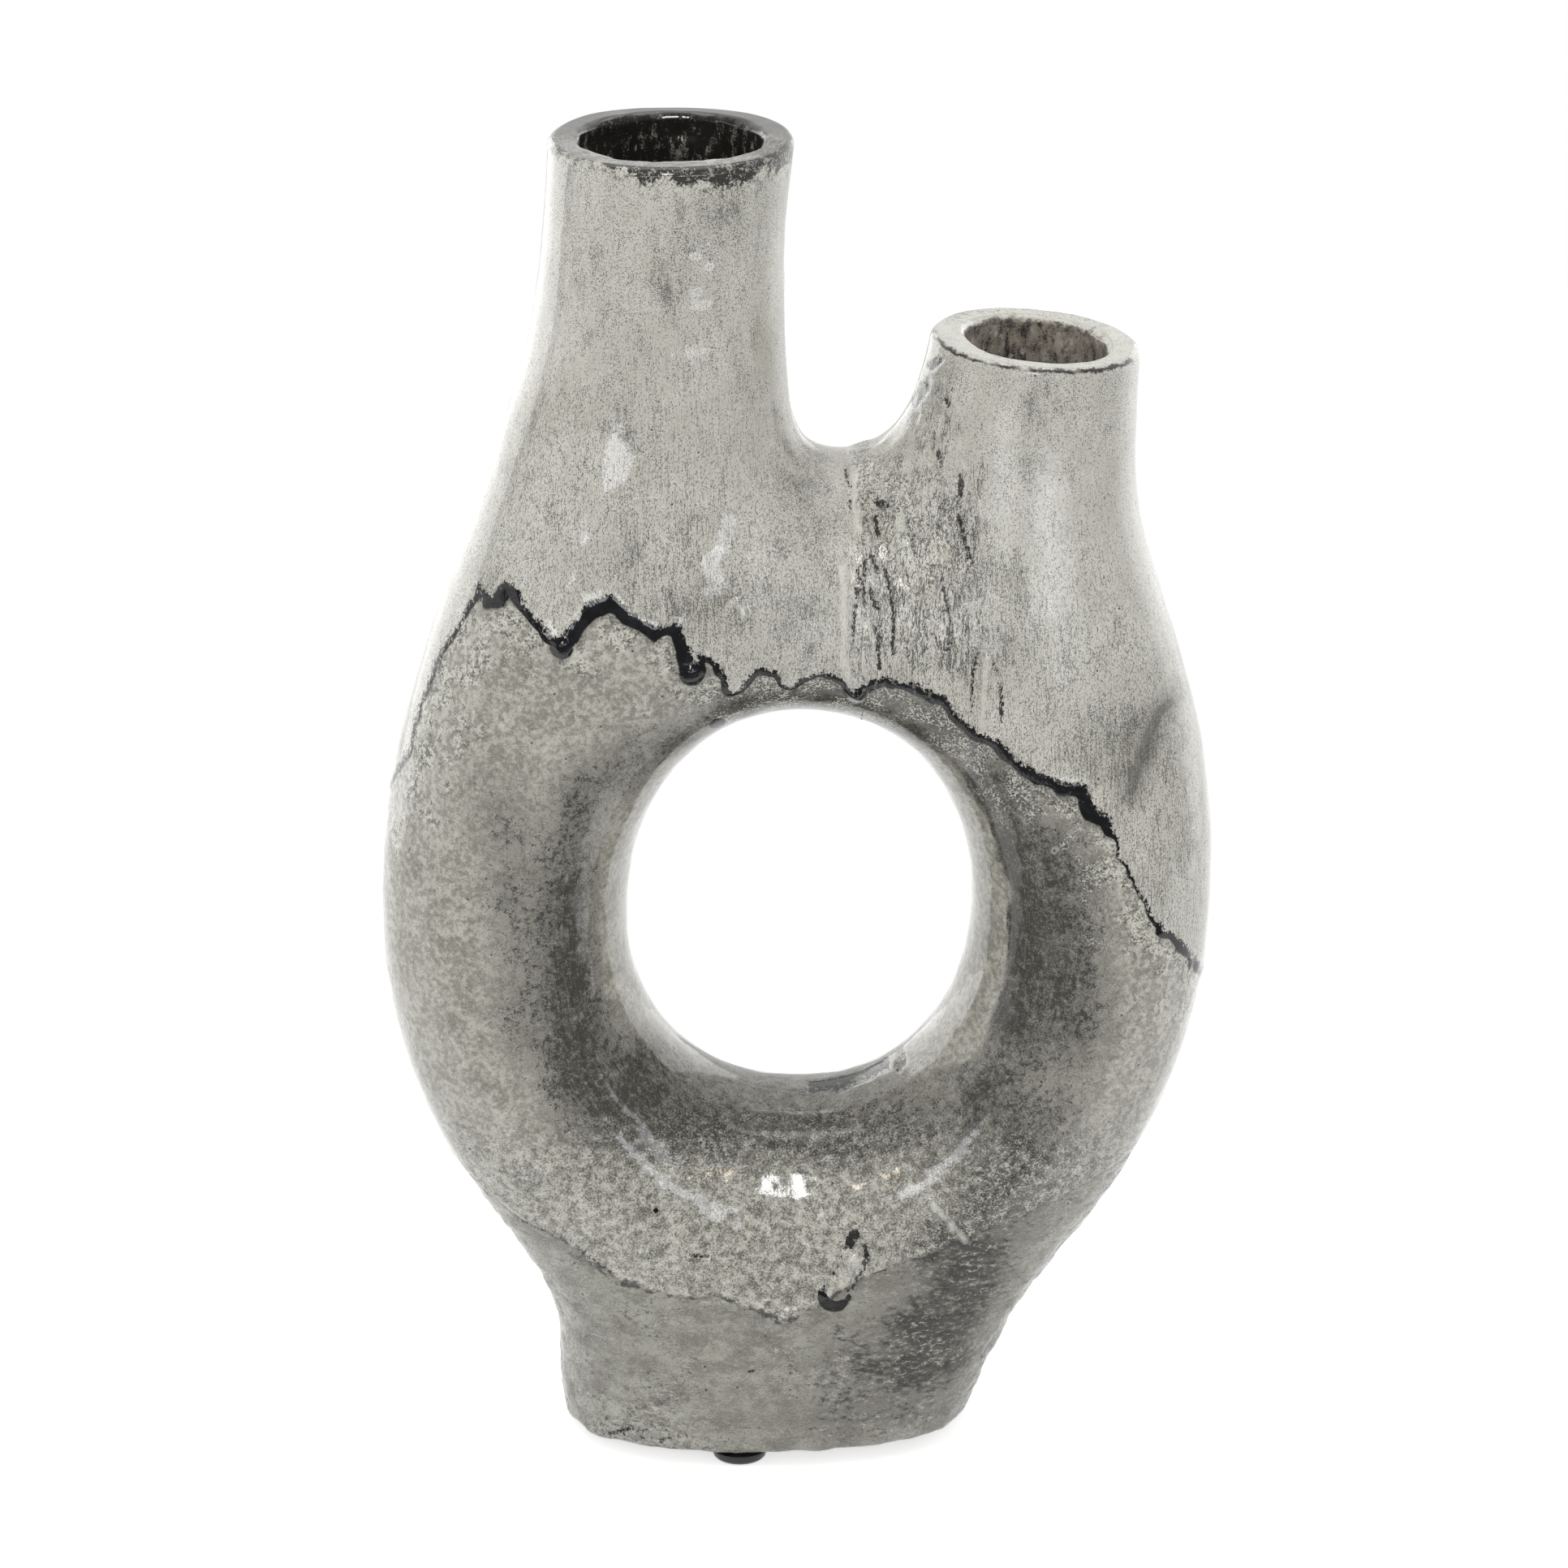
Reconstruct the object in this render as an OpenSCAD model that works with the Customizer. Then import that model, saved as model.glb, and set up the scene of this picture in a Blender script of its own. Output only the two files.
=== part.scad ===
// Hand-built ring vase with a tall and a short neck, in glazed stoneware.
// Origin: middle of the bounding box, on the table. +Z up, front at -Y, +X to the right.
// The body is a hollow clay skin round an upright ring. Its middle plane (y = 0) is bounded
// by a left edge, a right edge, the oval hole and the slot between the necks. At any point
// of that plane the half depth grows with the room left between those four edges, so every
// limb comes out nearly round and all of them flow into one another.

/* [Body] */
// Width over the two limbs
body_w = 234; // [224:1:244]
// Height of the tall rim above the table
body_h = 380; // [370:1:390]
// Depth of the limbs, front to back
body_d = 73; // [69:1:76]
// Thickness of the fired clay wall
wall = 9.4; // [8:0.2:10.4]

/* [Hole] */
// Width of the hole through the ring
hole_w = 94.8; // [88:0.4:100]
// Height of the hole through the ring
hole_h = 113.2; // [106:0.4:118]
// Height of the hole's centre above the table
hole_z = 159.8; // [157:0.2:163]
// Lean of the hole to the right
hole_lean = 3.5; // [0:0.5:6]

/* [Necks] */
// Height of the short rim at its middle
short_h = 322.8; // [318:0.4:328]
// Fall of the short rim to the right
rim_fall = 5; // [2:0.5:7]
// Outward lean of the short neck's inner side
short_lean = 9; // [6:0.5:12]
// Level of the slot's bottom before it is rounded
slot_z = 288; // [285:0.2:291]
// Radius of the worn rim edges
rim_r = 2.4; // [1.4:0.2:3]

/* [Foot] */
// Thickness of the base slab
slab_t = 9; // [7:0.2:11]
// Radius of the slab's lower edge
slab_r = 3.4; // [2:0.2:5]
// Height of the joint between the ring halves and the collar
waist_z = 44; // [40:0.5:46]
// Diameter of a rubber pad
pad_d = 15.6; // [12:0.2:18]
// Height of a rubber pad
pad_h = 3; // [2:0.2:4]

/* [Hidden] */

// Outlines: reach from the middle as a share of half the width, at even steps of height.
// The first value lies one step under the table, and each list is read as a smooth curve.
left_shares = [0.530, 0.563, 0.583, 0.583, 0.706, 0.826, 0.913, 0.966, 0.995, 1.001, 0.995,
               0.970, 0.929, 0.873, 0.809, 0.743, 0.684, 0.632, 0.604, 0.590, 0.581, 0.574,
               0.568];
right_shares = [0.316, 0.400, 0.472, 0.552, 0.694, 0.806, 0.892, 0.950, 0.986, 1.001, 1.000,
                0.980, 0.946, 0.898, 0.841, 0.800, 0.796, 0.803, 0.816, 0.838, 0.855, 0.872,
                0.889];
// Inner side of the tall neck, from slot_from_share of the height up
slot_shares = [-0.021, -0.021, -0.022, -0.028, -0.034, -0.028, -0.006, 0.026];
slot_from_share = 0.737;
// Depth gain of the skin as a share of half the depth, at every second step of height
depth_shares = [0.918, 0.945, 0.992, 1.096, 1.192, 1.247, 1.293, 1.356, 1.304, 1.211,
                1.140, 1.110, 1.096];
// The same under the short neck, and where it takes over from the list above
short_depth_share = 1.014;
short_from_share = 0.188;
short_soft_share = 0.06;
short_up_share = 0.742;
short_up_soft_share = 0.029;

half_w = body_w / 2;
half_d = body_d / 2;
step = body_h / 19;
hole_x = 0.006 * half_w;
hole_power = 2.15;
hole_egg = 0.03;
core_share = 0.04;
slot_x = 0.310 * half_w;
slot_at = 0.834 * body_h;
slot_tight = 0.060 * half_w;
slot_wide = 0.094 * half_w;
short_x = 0.554 * half_w;
seam_x = 0.155 * half_w;
foot_x = -0.045 * half_w;
neck_z = slot_z + 0.03 * body_h;
collar_z = pad_h + slab_t;
sliver = body_w / 1e8;

// Steps along the ring: slot side, neck joint, flank, foot joint; and round a limb
slot_rows = 6;
neck_rows = 16;
flank_rows = 14;
foot_rows = 9;
side_cols = 12;
end_cols = 6;
lip_steps = 4;
mouth_rows = 6;
end_angle = 35;
halvings = 22;

// Where the pads stick, as shares of the foot's half width and half depth
front_pad_x = -0.138 * half_w;
back_pad_x = -0.06 * half_w;
left_pad_x = -0.43 * half_w;
right_pad_x = 0.26 * half_w;
pad_y = 0.76 * half_d;

clay = "#8f8d86";
rubber = "#1b1b1c";

// Value and slope of the smooth curve through a list of control values
function place(c, z, s) = let (u = z / s + 1) min(max(floor(u), 1), len(c) - 3);
function curve(c, z, s) = let (
    i = place(c, z, s),
    t = z / s + 1 - i
) (pow(1 - t, 3) * c[i - 1] + (3 * pow(t, 3) - 6 * t * t + 4) * c[i]
    + (3 * t + 3 * t * t - 3 * pow(t, 3) + 1) * c[i + 1] + pow(t, 3) * c[i + 2]) / 6;
function slope(c, z, s) = let (
    i = place(c, z, s),
    t = z / s + 1 - i
) (-pow(1 - t, 2) * c[i - 1] + (3 * t * t - 4 * t) * c[i]
    + (1 + 2 * t - 3 * t * t) * c[i + 1] + t * t * c[i + 2]) / (2 * s);

// Larger of two values with the corner between them rounded over k
function soft_max(a, b, k) = let (m = max(a, b)) m + k * ln(exp((a - m) / k) + exp((b - m) / k));
// Goes from 0 to 1 over a few k
function soft_step(d, k) = 1 / (1 + exp(-d / k));

// Distances from a point of the middle plane to the four edges, positive in the clay
function from_left(x, z) = (x + half_w * curve(left_shares, z, step))
    / sqrt(1 + pow(half_w * slope(left_shares, z, step), 2));
function from_right(x, z) = (half_w * curve(right_shares, z, step) - x)
    / sqrt(1 + pow(half_w * slope(right_shares, z, step), 2));
function from_hole(x, z) = let (
    dx = x - hole_x,
    dz = z - hole_z,
    across = dx * cos(hole_lean) - dz * sin(hole_lean),
    v = dx * sin(hole_lean) + dz * cos(hole_lean),
    u = across / (1 - hole_egg * 2 * v / hole_h),
    q = pow(pow(abs(2 * u / hole_w), hole_power) + pow(abs(2 * v / hole_h), hole_power), 1 / hole_power)
) (1 - 1 / max(q, core_share)) * norm([u, v]);
function slot_left(z) = half_w * curve(slot_shares, z - slot_from_share * body_h, step);
function slot_right(z) = slot_x + (z - slot_at) * tan(short_lean);
function from_slot(x, z) = soft_max(
    soft_max(slot_left(z) - x, slot_z - z, slot_tight), x - slot_right(z), slot_wide);
function edges(x, z) = [from_left(x, z), from_right(x, z), from_hole(x, z), from_slot(x, z)];

// Depth gain, room between the edges and half depth of a skin that lies "inset" deep
function gain(x, z) = let (
    s = soft_step(x - short_from_share * half_w, short_soft_share * half_w)
        * soft_step(z - short_up_share * body_h, short_up_soft_share * body_h)
) half_d * (curve(depth_shares, z, 2 * step) * (1 - s) + short_depth_share * s);
function room(x, z, inset) = let (e = edges(x, z))
    1 / (1 / max(e[0] - inset, sliver) + 1 / max(e[1] - inset, sliver)
        + 1 / max(e[2] - inset, sliver) + 1 / max(e[3] - inset, sliver));
function half_depth(x, z, inset) = sqrt(2 * (gain(x, z) - inset) * room(x, z, inset));

// How far a ray runs from a point in the clay until it leaves the skin: in strides of a
// wall's thickness first, and then by halving the last stride
function stride(x, z, ux, uz, inset, from) = let (to = from + wall)
    to > half_w || min(edges(x + to * ux, z + to * uz)) <= inset ? from
    : stride(x, z, ux, uz, inset, to);
function reach(x, z, ux, uz, inset, near, far, left) = left == 0 ? (near + far) / 2
    : let (mid = (near + far) / 2, inside = min(edges(x + mid * ux, z + mid * uz)) > inset)
    reach(x, z, ux, uz, inset, inside ? mid : near, inside ? far : mid, left - 1);
function run(x, z, ux, uz, inset) = let (near = stride(x, z, ux, uz, inset, 0))
    reach(x, z, ux, uz, inset, near, near + wall, halvings);

// Ends of a level cut, and a closed loop of points round it
function cut_ends(x, z, inset) = [x - run(x, z, -1, 0, inset), x + run(x, z, 1, 0, inset)];
function loop_x(ends, k, n) = (ends[0] + ends[1]) / 2 + (ends[1] - ends[0]) / 2 * cos(180 * k / n);

// Ring halves: rows from the seam over the neck joint and down the flank to the foot.
// A row is [pivot x, direction, inner distance, outer distance, end angle, end is open].
function row_from(px, ux, uz, inset, outer, angle, open) = let (
    core = hole_h / 2 + inset + wall,
    near = core - run(px + core * ux, hole_z + core * uz, -ux, -uz, inset),
    far = outer > 0 ? outer : core + run(px + core * ux, hole_z + core * uz, ux, uz, inset)
) [px, ux, uz, near, far, angle, open];
function row_to(px, tx, tz, inset, angle, open) = let (d = norm([tx - px, tz - hole_z]))
    row_from(px, (tx - px) / d, (tz - hole_z) / d, inset, d, angle, open);
function row_at(px, a, inset, angle) = row_from(px, cos(a), sin(a), inset, 0, angle, false);
function aim(px, tx, tz) = atan2(tz - hole_z, tx - px);

function half_row_list(side, inset) = let (
    necks = cut_ends(side < 0 ? -short_x / 2 : short_x, neck_z, inset),
    feet = cut_ends(foot_x, waist_z, inset),
    near_x = side < 0 ? necks[1] : necks[0],
    far_x = side < 0 ? necks[0] : necks[1],
    tip_x = side < 0 ? feet[0] : feet[1],
    mid_px = (seam_x + hole_x) / 2,
    start = aim(mid_px, near_x, neck_z),
    flank = aim(hole_x, far_x, neck_z),
    tip = aim(hole_x, tip_x, waist_z),
    to = side < 0 && tip < 0 ? tip + 360 : tip
) concat(
    [for (i = [0 : slot_rows - 1]) let (s = i / slot_rows)
        row_at(seam_x + (mid_px - seam_x) * s, 90 + (start - 90) * s, inset,
            end_angle * min(1, (slot_rows - i) / 3))],
    [for (i = [0 : neck_rows]) let (s = i / neck_rows, w = (1 - cos(180 * s)) / 2)
        row_to(mid_px + (hole_x - mid_px) * s, near_x + (far_x - near_x) * w, neck_z, inset,
            2 * end_angle * min(1, i / 3, (neck_rows - i) / 3), i > 0 && i < neck_rows)],
    [for (i = [1 : flank_rows - 1]) let (s = i / flank_rows)
        row_at(hole_x, flank + (to - flank) * s, inset,
            end_angle * min(1, i / 3, (flank_rows - i) / 3))],
    [for (i = [0 : foot_rows]) let (s = i / foot_rows, c = cos(90 * s))
        row_to(hole_x + (foot_x - hole_x) * s, foot_x + (tip_x - foot_x) * c, waist_z, inset,
            2 * end_angle * min(1, i / 3), i > 0)]
);

cols = 2 * side_cols + end_cols;
rows = slot_rows + neck_rows + flank_rows + foot_rows;
neck_at = slot_rows;
flank_at = neck_at + neck_rows;
foot_at = flank_at + flank_rows;

// Point j of a row: along the front to the outer end, across it and back behind
function row_share(row, j) = let (
    k = j <= side_cols ? j : j >= side_cols + end_cols ? cols - j : -1,
    a = 180 - row[5]
) k >= 0 ? (1 - cos(a * k / side_cols)) / (row[6] ? 1 - cos(a) : 2)
    : row[6] ? 1 : (1 - cos(a + 2 * row[5] * (j - side_cols) / end_cols)) / 2;
function row_point(row, j, inset) = let (
    r = row[3] + (row[4] - row[3]) * row_share(row, j),
    x = row[0] + r * row[1],
    z = hole_z + r * row[2],
    flat = j == 0 || (!row[6] && j == side_cols + end_cols / 2),
    back = j > side_cols + end_cols / 2 ? 1 : -1
) [x, flat ? 0 : back * half_depth(x, z, inset), z];

// Points at a joint's tips fall together, so they share one number
function tip_row(i) = i == neck_at || i == flank_at || i == foot_at;
function spot(i, j) = let (c = j % cols)
    i * cols + (tip_row(i) && c > side_cols && c <= side_cols + end_cols ? side_cols : c);
function in_end(j) = j >= side_cols && j < side_cols + end_cols;
function open_at(i, j) = in_end(j) && ((i >= neck_at && i < flank_at) || i >= foot_at);

// A four-cornered face as two triangles, without those that have no area
function quad(a, b, c, d) = [for (t = [[a, b, c], [a, c, d]])
    if (t[0] != t[1] && t[1] != t[2] && t[0] != t[2]) t];
function flip(f) = [for (t = f) [t[2], t[1], t[0]]];

module ring_half(side) {
    outer = half_row_list(side, 0);
    inner = half_row_list(side, wall);
    skin = (rows + 1) * cols;
    points = concat(
        [for (i = [0 : rows], j = [0 : cols - 1]) row_point(outer[i], j, 0)],
        [for (i = [0 : rows], j = [0 : cols - 1]) row_point(inner[i], j, wall)]);
    faces = [
        for (i = [0 : rows - 1], j = [0 : cols - 1]) if (!open_at(i, j))
            each quad(spot(i, j), spot(i + 1, j), spot(i + 1, j + 1), spot(i, j + 1)),
        for (i = [0 : rows - 1], j = [0 : cols - 1]) if (!open_at(i, j))
            each quad(skin + spot(i, j), skin + spot(i, j + 1),
                skin + spot(i + 1, j + 1), skin + spot(i + 1, j)),
        // cut faces: at the seam, under the ring, then round the neck joint and the foot joint
        for (j = [0 : cols - 1])
            each quad(spot(0, j), spot(0, j + 1), skin + spot(0, j + 1), skin + spot(0, j)),
        for (j = [0 : cols - 1]) if (!in_end(j))
            each quad(spot(rows, j + 1), spot(rows, j), skin + spot(rows, j), skin + spot(rows, j + 1)),
        for (i = [0 : rows - 1]) if (open_at(i, side_cols))
            each concat(
                quad(spot(i, side_cols), spot(i + 1, side_cols),
                    skin + spot(i + 1, side_cols), skin + spot(i, side_cols)),
                quad(spot(i + 1, side_cols + end_cols), spot(i, side_cols + end_cols),
                    skin + spot(i, side_cols + end_cols), skin + spot(i + 1, side_cols + end_cols)))
    ];
    polyhedron(points, side < 0 ? faces : flip(faces));
}

// Necks, collar and slab: level loops stacked along a section of the wall.
// A loop's plane rises from "low" to the rim; "tilt" is how much it falls per length of x.
function plane_z(x, level, tilt, at) = level - (x - at) * tilt;
function plane_ends(level, tilt, at, inset) = let (n = norm([1, tilt]))
    [at - run(at, level, -1 / n, tilt / n, inset) / n, at + run(at, level, 1 / n, -tilt / n, inset) / n];
function plane_loop(level, tilt, at, inset, n) = let (ends = plane_ends(level, tilt, at, inset))
    [for (k = [0 : 2 * n - 1]) let (
        x = loop_x(ends, k, n),
        z = plane_z(x, level, tilt, at),
        side = k % n == 0 ? 0 : k < n ? -1 : 1
    ) [x, side * half_depth(x, z, inset), z]];

// Closed skin through loops that all have the same number of points
module loops(list, closed) {
    n = len(list[0]);
    m = len(list);
    points = [for (l = list) each l];
    polyhedron(points, concat(
        [for (i = [0 : m - (closed ? 1 : 2)], k = [0 : n - 1]) let (
            a = i * n + k,
            b = i * n + (k + 1) % n,
            c = ((i + 1) % m) * n + (k + 1) % n,
            d = ((i + 1) % m) * n + k
        ) each [[a, b, c], [a, c, d]]],
        closed ? [] : [[for (k = [n - 1 : -1 : 0]) k], [for (k = [0 : n - 1]) (m - 1) * n + k]]));
}

// Section of a neck's wall as [share of the way up, distance below the rim, inset]
lip = [for (k = [0 : lip_steps]) let (a = 90 * k / lip_steps)
    [rim_r * (1 - sin(a)), rim_r * (1 - cos(a))]];
function neck_wall() = concat(
    [for (i = [0 : mouth_rows - 1]) [i / mouth_rows, rim_r, 0]],
    [for (p = lip) [1, p[0], p[1]]],
    [for (k = [lip_steps : -1 : 0]) [1, lip[k][0], wall - lip[k][1]]],
    [for (i = [mouth_rows - 1 : -1 : 0]) [i / mouth_rows, rim_r, wall]]
);
module neck(at, top, tilt) {
    loops([for (p = neck_wall()) plane_loop(neck_z + (top - p[1] - neck_z) * p[0],
        tilt * p[0], at, p[2], neck_rows)], true);
}

module left_ring_half() color(clay) ring_half(-1);
module right_ring_half() color(clay) ring_half(1);
module tall_neck() color(clay) neck(-short_x / 2, body_h, 0);
module short_neck() color(clay) neck(short_x, short_h, tan(rim_fall));

// Oval wall between the slab and the waist
module foot_collar() color(clay) loops(concat(
    [for (i = [0 : mouth_rows]) plane_loop(
        collar_z + (waist_z - collar_z) * i / mouth_rows, 0, foot_x, 0, 2 * foot_rows)],
    [for (i = [mouth_rows : -1 : 0]) plane_loop(
        collar_z + (waist_z - collar_z) * i / mouth_rows, 0, foot_x, wall, 2 * foot_rows)]
), true);

// Floor of the vase, with its lower edge rounded
module base_slab() color(clay) loops(concat(
    [for (k = [0 : lip_steps]) let (a = 90 * k / lip_steps) plane_loop(
        pad_h + slab_r * (1 - cos(a)), 0, foot_x, slab_r * (1 - sin(a)), 2 * foot_rows)],
    [plane_loop(collar_z, 0, foot_x, 0, 2 * foot_rows)]
), false);

// Rubber bumper: flat below and above, with a rounded shoulder at the bottom
module pad(x, y) color(rubber) translate([x, y, 0]) rotate_extrude($fn = 48) polygon([
    [0, 0],
    [pad_d * 0.36, 0],
    [pad_d * 0.43, pad_h * 0.12],
    [pad_d * 0.475, pad_h * 0.36],
    [pad_d / 2, pad_h * 0.8],
    [pad_d / 2, pad_h],
    [0, pad_h]
]);
module front_pad() pad(front_pad_x, -pad_y);
module back_pad() pad(back_pad_x, pad_y);
module left_pad() pad(left_pad_x, 0);
module right_pad() pad(right_pad_x, 0);

left_ring_half();
right_ring_half();
tall_neck();
short_neck();
foot_collar();
base_slab();
front_pad();
back_pad();
left_pad();
right_pad();
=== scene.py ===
"""Glazed stoneware ring vase with two necks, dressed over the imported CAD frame.

The CAD clay nodes are replaced by dense glazed skins that follow the same closed form: the
half depth of the body at any point of its middle plane grows with the room left between its
left edge, its right edge, the oval hole and the slot between the necks. Every skin is a grid of
points on that form, pushed along its normal by the relief of the hand-built clay and of the
glaze coats. Lengths are in millimetres until a mesh is made.
"""
import logging
import math
from dataclasses import dataclass, field
from enum import Enum

import bpy
import numpy as np
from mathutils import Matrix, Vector


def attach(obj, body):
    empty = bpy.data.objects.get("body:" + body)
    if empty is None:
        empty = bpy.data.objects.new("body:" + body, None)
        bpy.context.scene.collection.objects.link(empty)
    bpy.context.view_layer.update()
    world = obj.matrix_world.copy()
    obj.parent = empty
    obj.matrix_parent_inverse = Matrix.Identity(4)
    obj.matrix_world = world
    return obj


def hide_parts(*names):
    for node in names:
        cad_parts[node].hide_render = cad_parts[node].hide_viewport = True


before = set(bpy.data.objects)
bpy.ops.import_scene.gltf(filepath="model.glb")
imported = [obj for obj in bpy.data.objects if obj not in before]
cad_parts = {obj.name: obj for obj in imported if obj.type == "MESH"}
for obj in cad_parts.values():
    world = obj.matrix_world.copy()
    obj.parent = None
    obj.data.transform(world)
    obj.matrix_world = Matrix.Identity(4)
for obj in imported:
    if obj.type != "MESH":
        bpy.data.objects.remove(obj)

MM = 0.001
# The map of the middle plane on which glaze lines and strokes are worked out, in mm
MAP_HALF_W = 125.0
MAP_HEIGHT = 400.0
MAP_CELL = 0.5
# What a stroke's value is where no stroke is near
NO_STROKE = -9.0
# How far the dressed skin stays inside the solids' sides and top, in mm
INSET = 0.05
# Places along a rim's section, in mm: far down the outside, far down the inside, and where its lines end
OUTSIDE = -100.0
INSIDE = 100.0
RIM_REACH = -60.0
# Steps in which a lip's worn corners are turned, and halvings that find where a ray leaves the skin
CORNER_STEPS = 9
HALVINGS = 30
log = logging.getLogger("vase")

Array = np.ndarray
Socket = bpy.types.NodeSocket
# What a node's input takes: a socket to link, or a number
Value = Socket | float


class Side(Enum):
    """Which half of the ring a skin belongs to."""

    LEFT = -1
    RIGHT = 1


# Form of the closed skin


def smooth_curve(controls: Array, at: Array, step: float) -> tuple[Array, Array]:
    """Reads an even cubic spline.

    Args:
        controls: control values; the first one lies one step before zero.
        at: where to read it, in mm.
        step: spacing of the controls, in mm.

    Returns:
        The value and its slope per mm.
    """
    i = np.clip(np.floor(at / step + 1).astype(int), 1, len(controls) - 3)
    t = at / step + 1 - i
    a, b, c, d = (controls[i + k] for k in (-1, 0, 1, 2))
    third = 3 * t + 3 * t**2 - 3 * t**3 + 1
    value = (1 - t) ** 3 * a + (3 * t**3 - 6 * t**2 + 4) * b + third * c + t**3 * d
    slope = -((1 - t) ** 2) * a + (3 * t**2 - 4 * t) * b + (1 + 2 * t - 3 * t**2) * c + t**2 * d
    return value / 6, slope / (2 * step)


def soft_max(a: Array, b: Array, k: float) -> Array:
    """Larger of two fields, with the corner between them rounded over k mm."""
    top = np.maximum(a, b)
    return top + k * np.log(np.exp((a - top) / k) + np.exp((b - top) / k))


def soft_step(distance: Array, k: float) -> Array:
    """Goes from 0 to 1 over a few k mm."""
    return 1 / (1 + np.exp(np.clip(-distance / k, -60, 60)))


def fade(value: Array, low: float, high: float) -> Array:
    """Smooth step from 0 at low to 1 at high."""
    t = np.clip((value - low) / (high - low), 0, 1)
    return t * t * (3 - 2 * t)


@dataclass(frozen=True)
class VaseForm:
    """The closed form of the skin, in mm. Sizes are those of the CAD part."""

    width: float = 234.0
    height: float = 380.0
    depth: float = 73.0
    wall: float = 9.4
    hole_w: float = 94.8
    hole_h: float = 113.2
    hole_z: float = 159.8
    hole_lean: float = math.radians(3.5)
    hole_power: float = 2.15
    hole_egg: float = 0.03
    short_h: float = 322.8
    rim_fall: float = math.radians(5)
    short_lean: float = math.radians(9)
    slot_z: float = 288.0
    rim_r: float = 2.4
    pad_h: float = 3.0
    slab_t: float = 9.0
    slab_r: float = 3.4
    waist_z: float = 44.0
    left_shares: tuple[float, ...] = (
        0.530, 0.563, 0.583, 0.583, 0.706, 0.826, 0.913, 0.966, 0.995, 1.001, 0.995, 0.970,
        0.929, 0.873, 0.809, 0.743, 0.684, 0.632, 0.604, 0.590, 0.581, 0.574, 0.568,
    )
    right_shares: tuple[float, ...] = (
        0.316, 0.400, 0.472, 0.552, 0.694, 0.806, 0.892, 0.950, 0.986, 1.001, 1.000, 0.980,
        0.946, 0.898, 0.841, 0.800, 0.796, 0.803, 0.816, 0.838, 0.855, 0.872, 0.889,
    )
    slot_shares: tuple[float, ...] = (-0.021, -0.021, -0.022, -0.028, -0.034, -0.028, -0.006, 0.026)
    slot_from_share: float = 0.737
    slot_soft_share: float = 0.060
    saddle_soft_share: float = 0.094
    short_side_share: float = 0.310
    short_side_z_share: float = 0.834
    hole_x_share: float = 0.006
    seam_x_share: float = 0.155
    foot_x_share: float = -0.045
    short_x_share: float = 0.554
    neck_rise_share: float = 0.03
    depth_shares: tuple[float, ...] = (
        0.918, 0.945, 0.992, 1.096, 1.192, 1.247, 1.293, 1.356, 1.304, 1.211, 1.140, 1.110, 1.096,
    )
    short_depth_share: float = 1.014
    short_from_share: float = 0.188
    short_soft_share: float = 0.06
    short_up_share: float = 0.742
    short_up_soft_share: float = 0.029

    @property
    def half_w(self) -> float:
        """Half the width over the limbs."""
        return self.width / 2

    @property
    def step(self) -> float:
        """Height between two control values of the outlines."""
        return self.height / 19

    @property
    def hole_x(self) -> float:
        """Middle of the hole."""
        return self.hole_x_share * self.half_w

    @property
    def seam_x(self) -> float:
        """Upright seam between the ring halves over the hole."""
        return self.seam_x_share * self.half_w

    @property
    def foot_x(self) -> float:
        """Middle of the foot."""
        return self.foot_x_share * self.half_w

    @property
    def short_x(self) -> float:
        """Middle of the short rim."""
        return self.short_x_share * self.half_w

    @property
    def neck_z(self) -> float:
        """Level of the joints under the necks."""
        return self.slot_z + self.neck_rise_share * self.height

    @property
    def collar_z(self) -> float:
        """Level of the joint between slab and collar."""
        return self.pad_h + self.slab_t

    def slot_left(self, z: Array) -> Array:
        """Inner side of the tall neck at a height."""
        return self.half_w * smooth_curve(
            np.array(self.slot_shares), z - self.slot_from_share * self.height, self.step
        )[0]

    def slot_right(self, z: Array) -> Array:
        """Inner side of the short neck at a height."""
        above = z - self.short_side_z_share * self.height
        return self.short_side_share * self.half_w + above * math.tan(self.short_lean)

    def edges(self, x: Array, z: Array) -> tuple[Array, Array, Array, Array]:
        """Distances to the left edge, right edge, hole and slot, positive in the clay.

        Args:
            x: places in the middle plane, across.
            z: places in the middle plane, upward.

        Returns:
            Four arrays of distances in mm.
        """
        left, left_slope = smooth_curve(np.array(self.left_shares), z, self.step)
        right, right_slope = smooth_curve(np.array(self.right_shares), z, self.step)
        from_left = (x + self.half_w * left) / np.sqrt(1 + (self.half_w * left_slope) ** 2)
        from_right = (self.half_w * right - x) / np.sqrt(1 + (self.half_w * right_slope) ** 2)
        dx, dz = x - self.hole_x, z - self.hole_z
        along = dx * math.sin(self.hole_lean) + dz * math.cos(self.hole_lean)
        across = (dx * math.cos(self.hole_lean) - dz * math.sin(self.hole_lean)) / (
            1 - self.hole_egg * 2 * along / self.hole_h
        )
        wide = np.abs(2 * across / self.hole_w) ** self.hole_power
        tall = np.abs(2 * along / self.hole_h) ** self.hole_power
        ratio = (wide + tall) ** (1 / self.hole_power)
        from_hole = (1 - 1 / np.maximum(ratio, 0.04)) * np.hypot(across, along)
        slot = soft_max(self.slot_left(z) - x, self.slot_z - z, self.slot_soft_share * self.half_w)
        from_slot = soft_max(slot, x - self.slot_right(z), self.saddle_soft_share * self.half_w)
        return from_left, from_right, from_hole, from_slot

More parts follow.
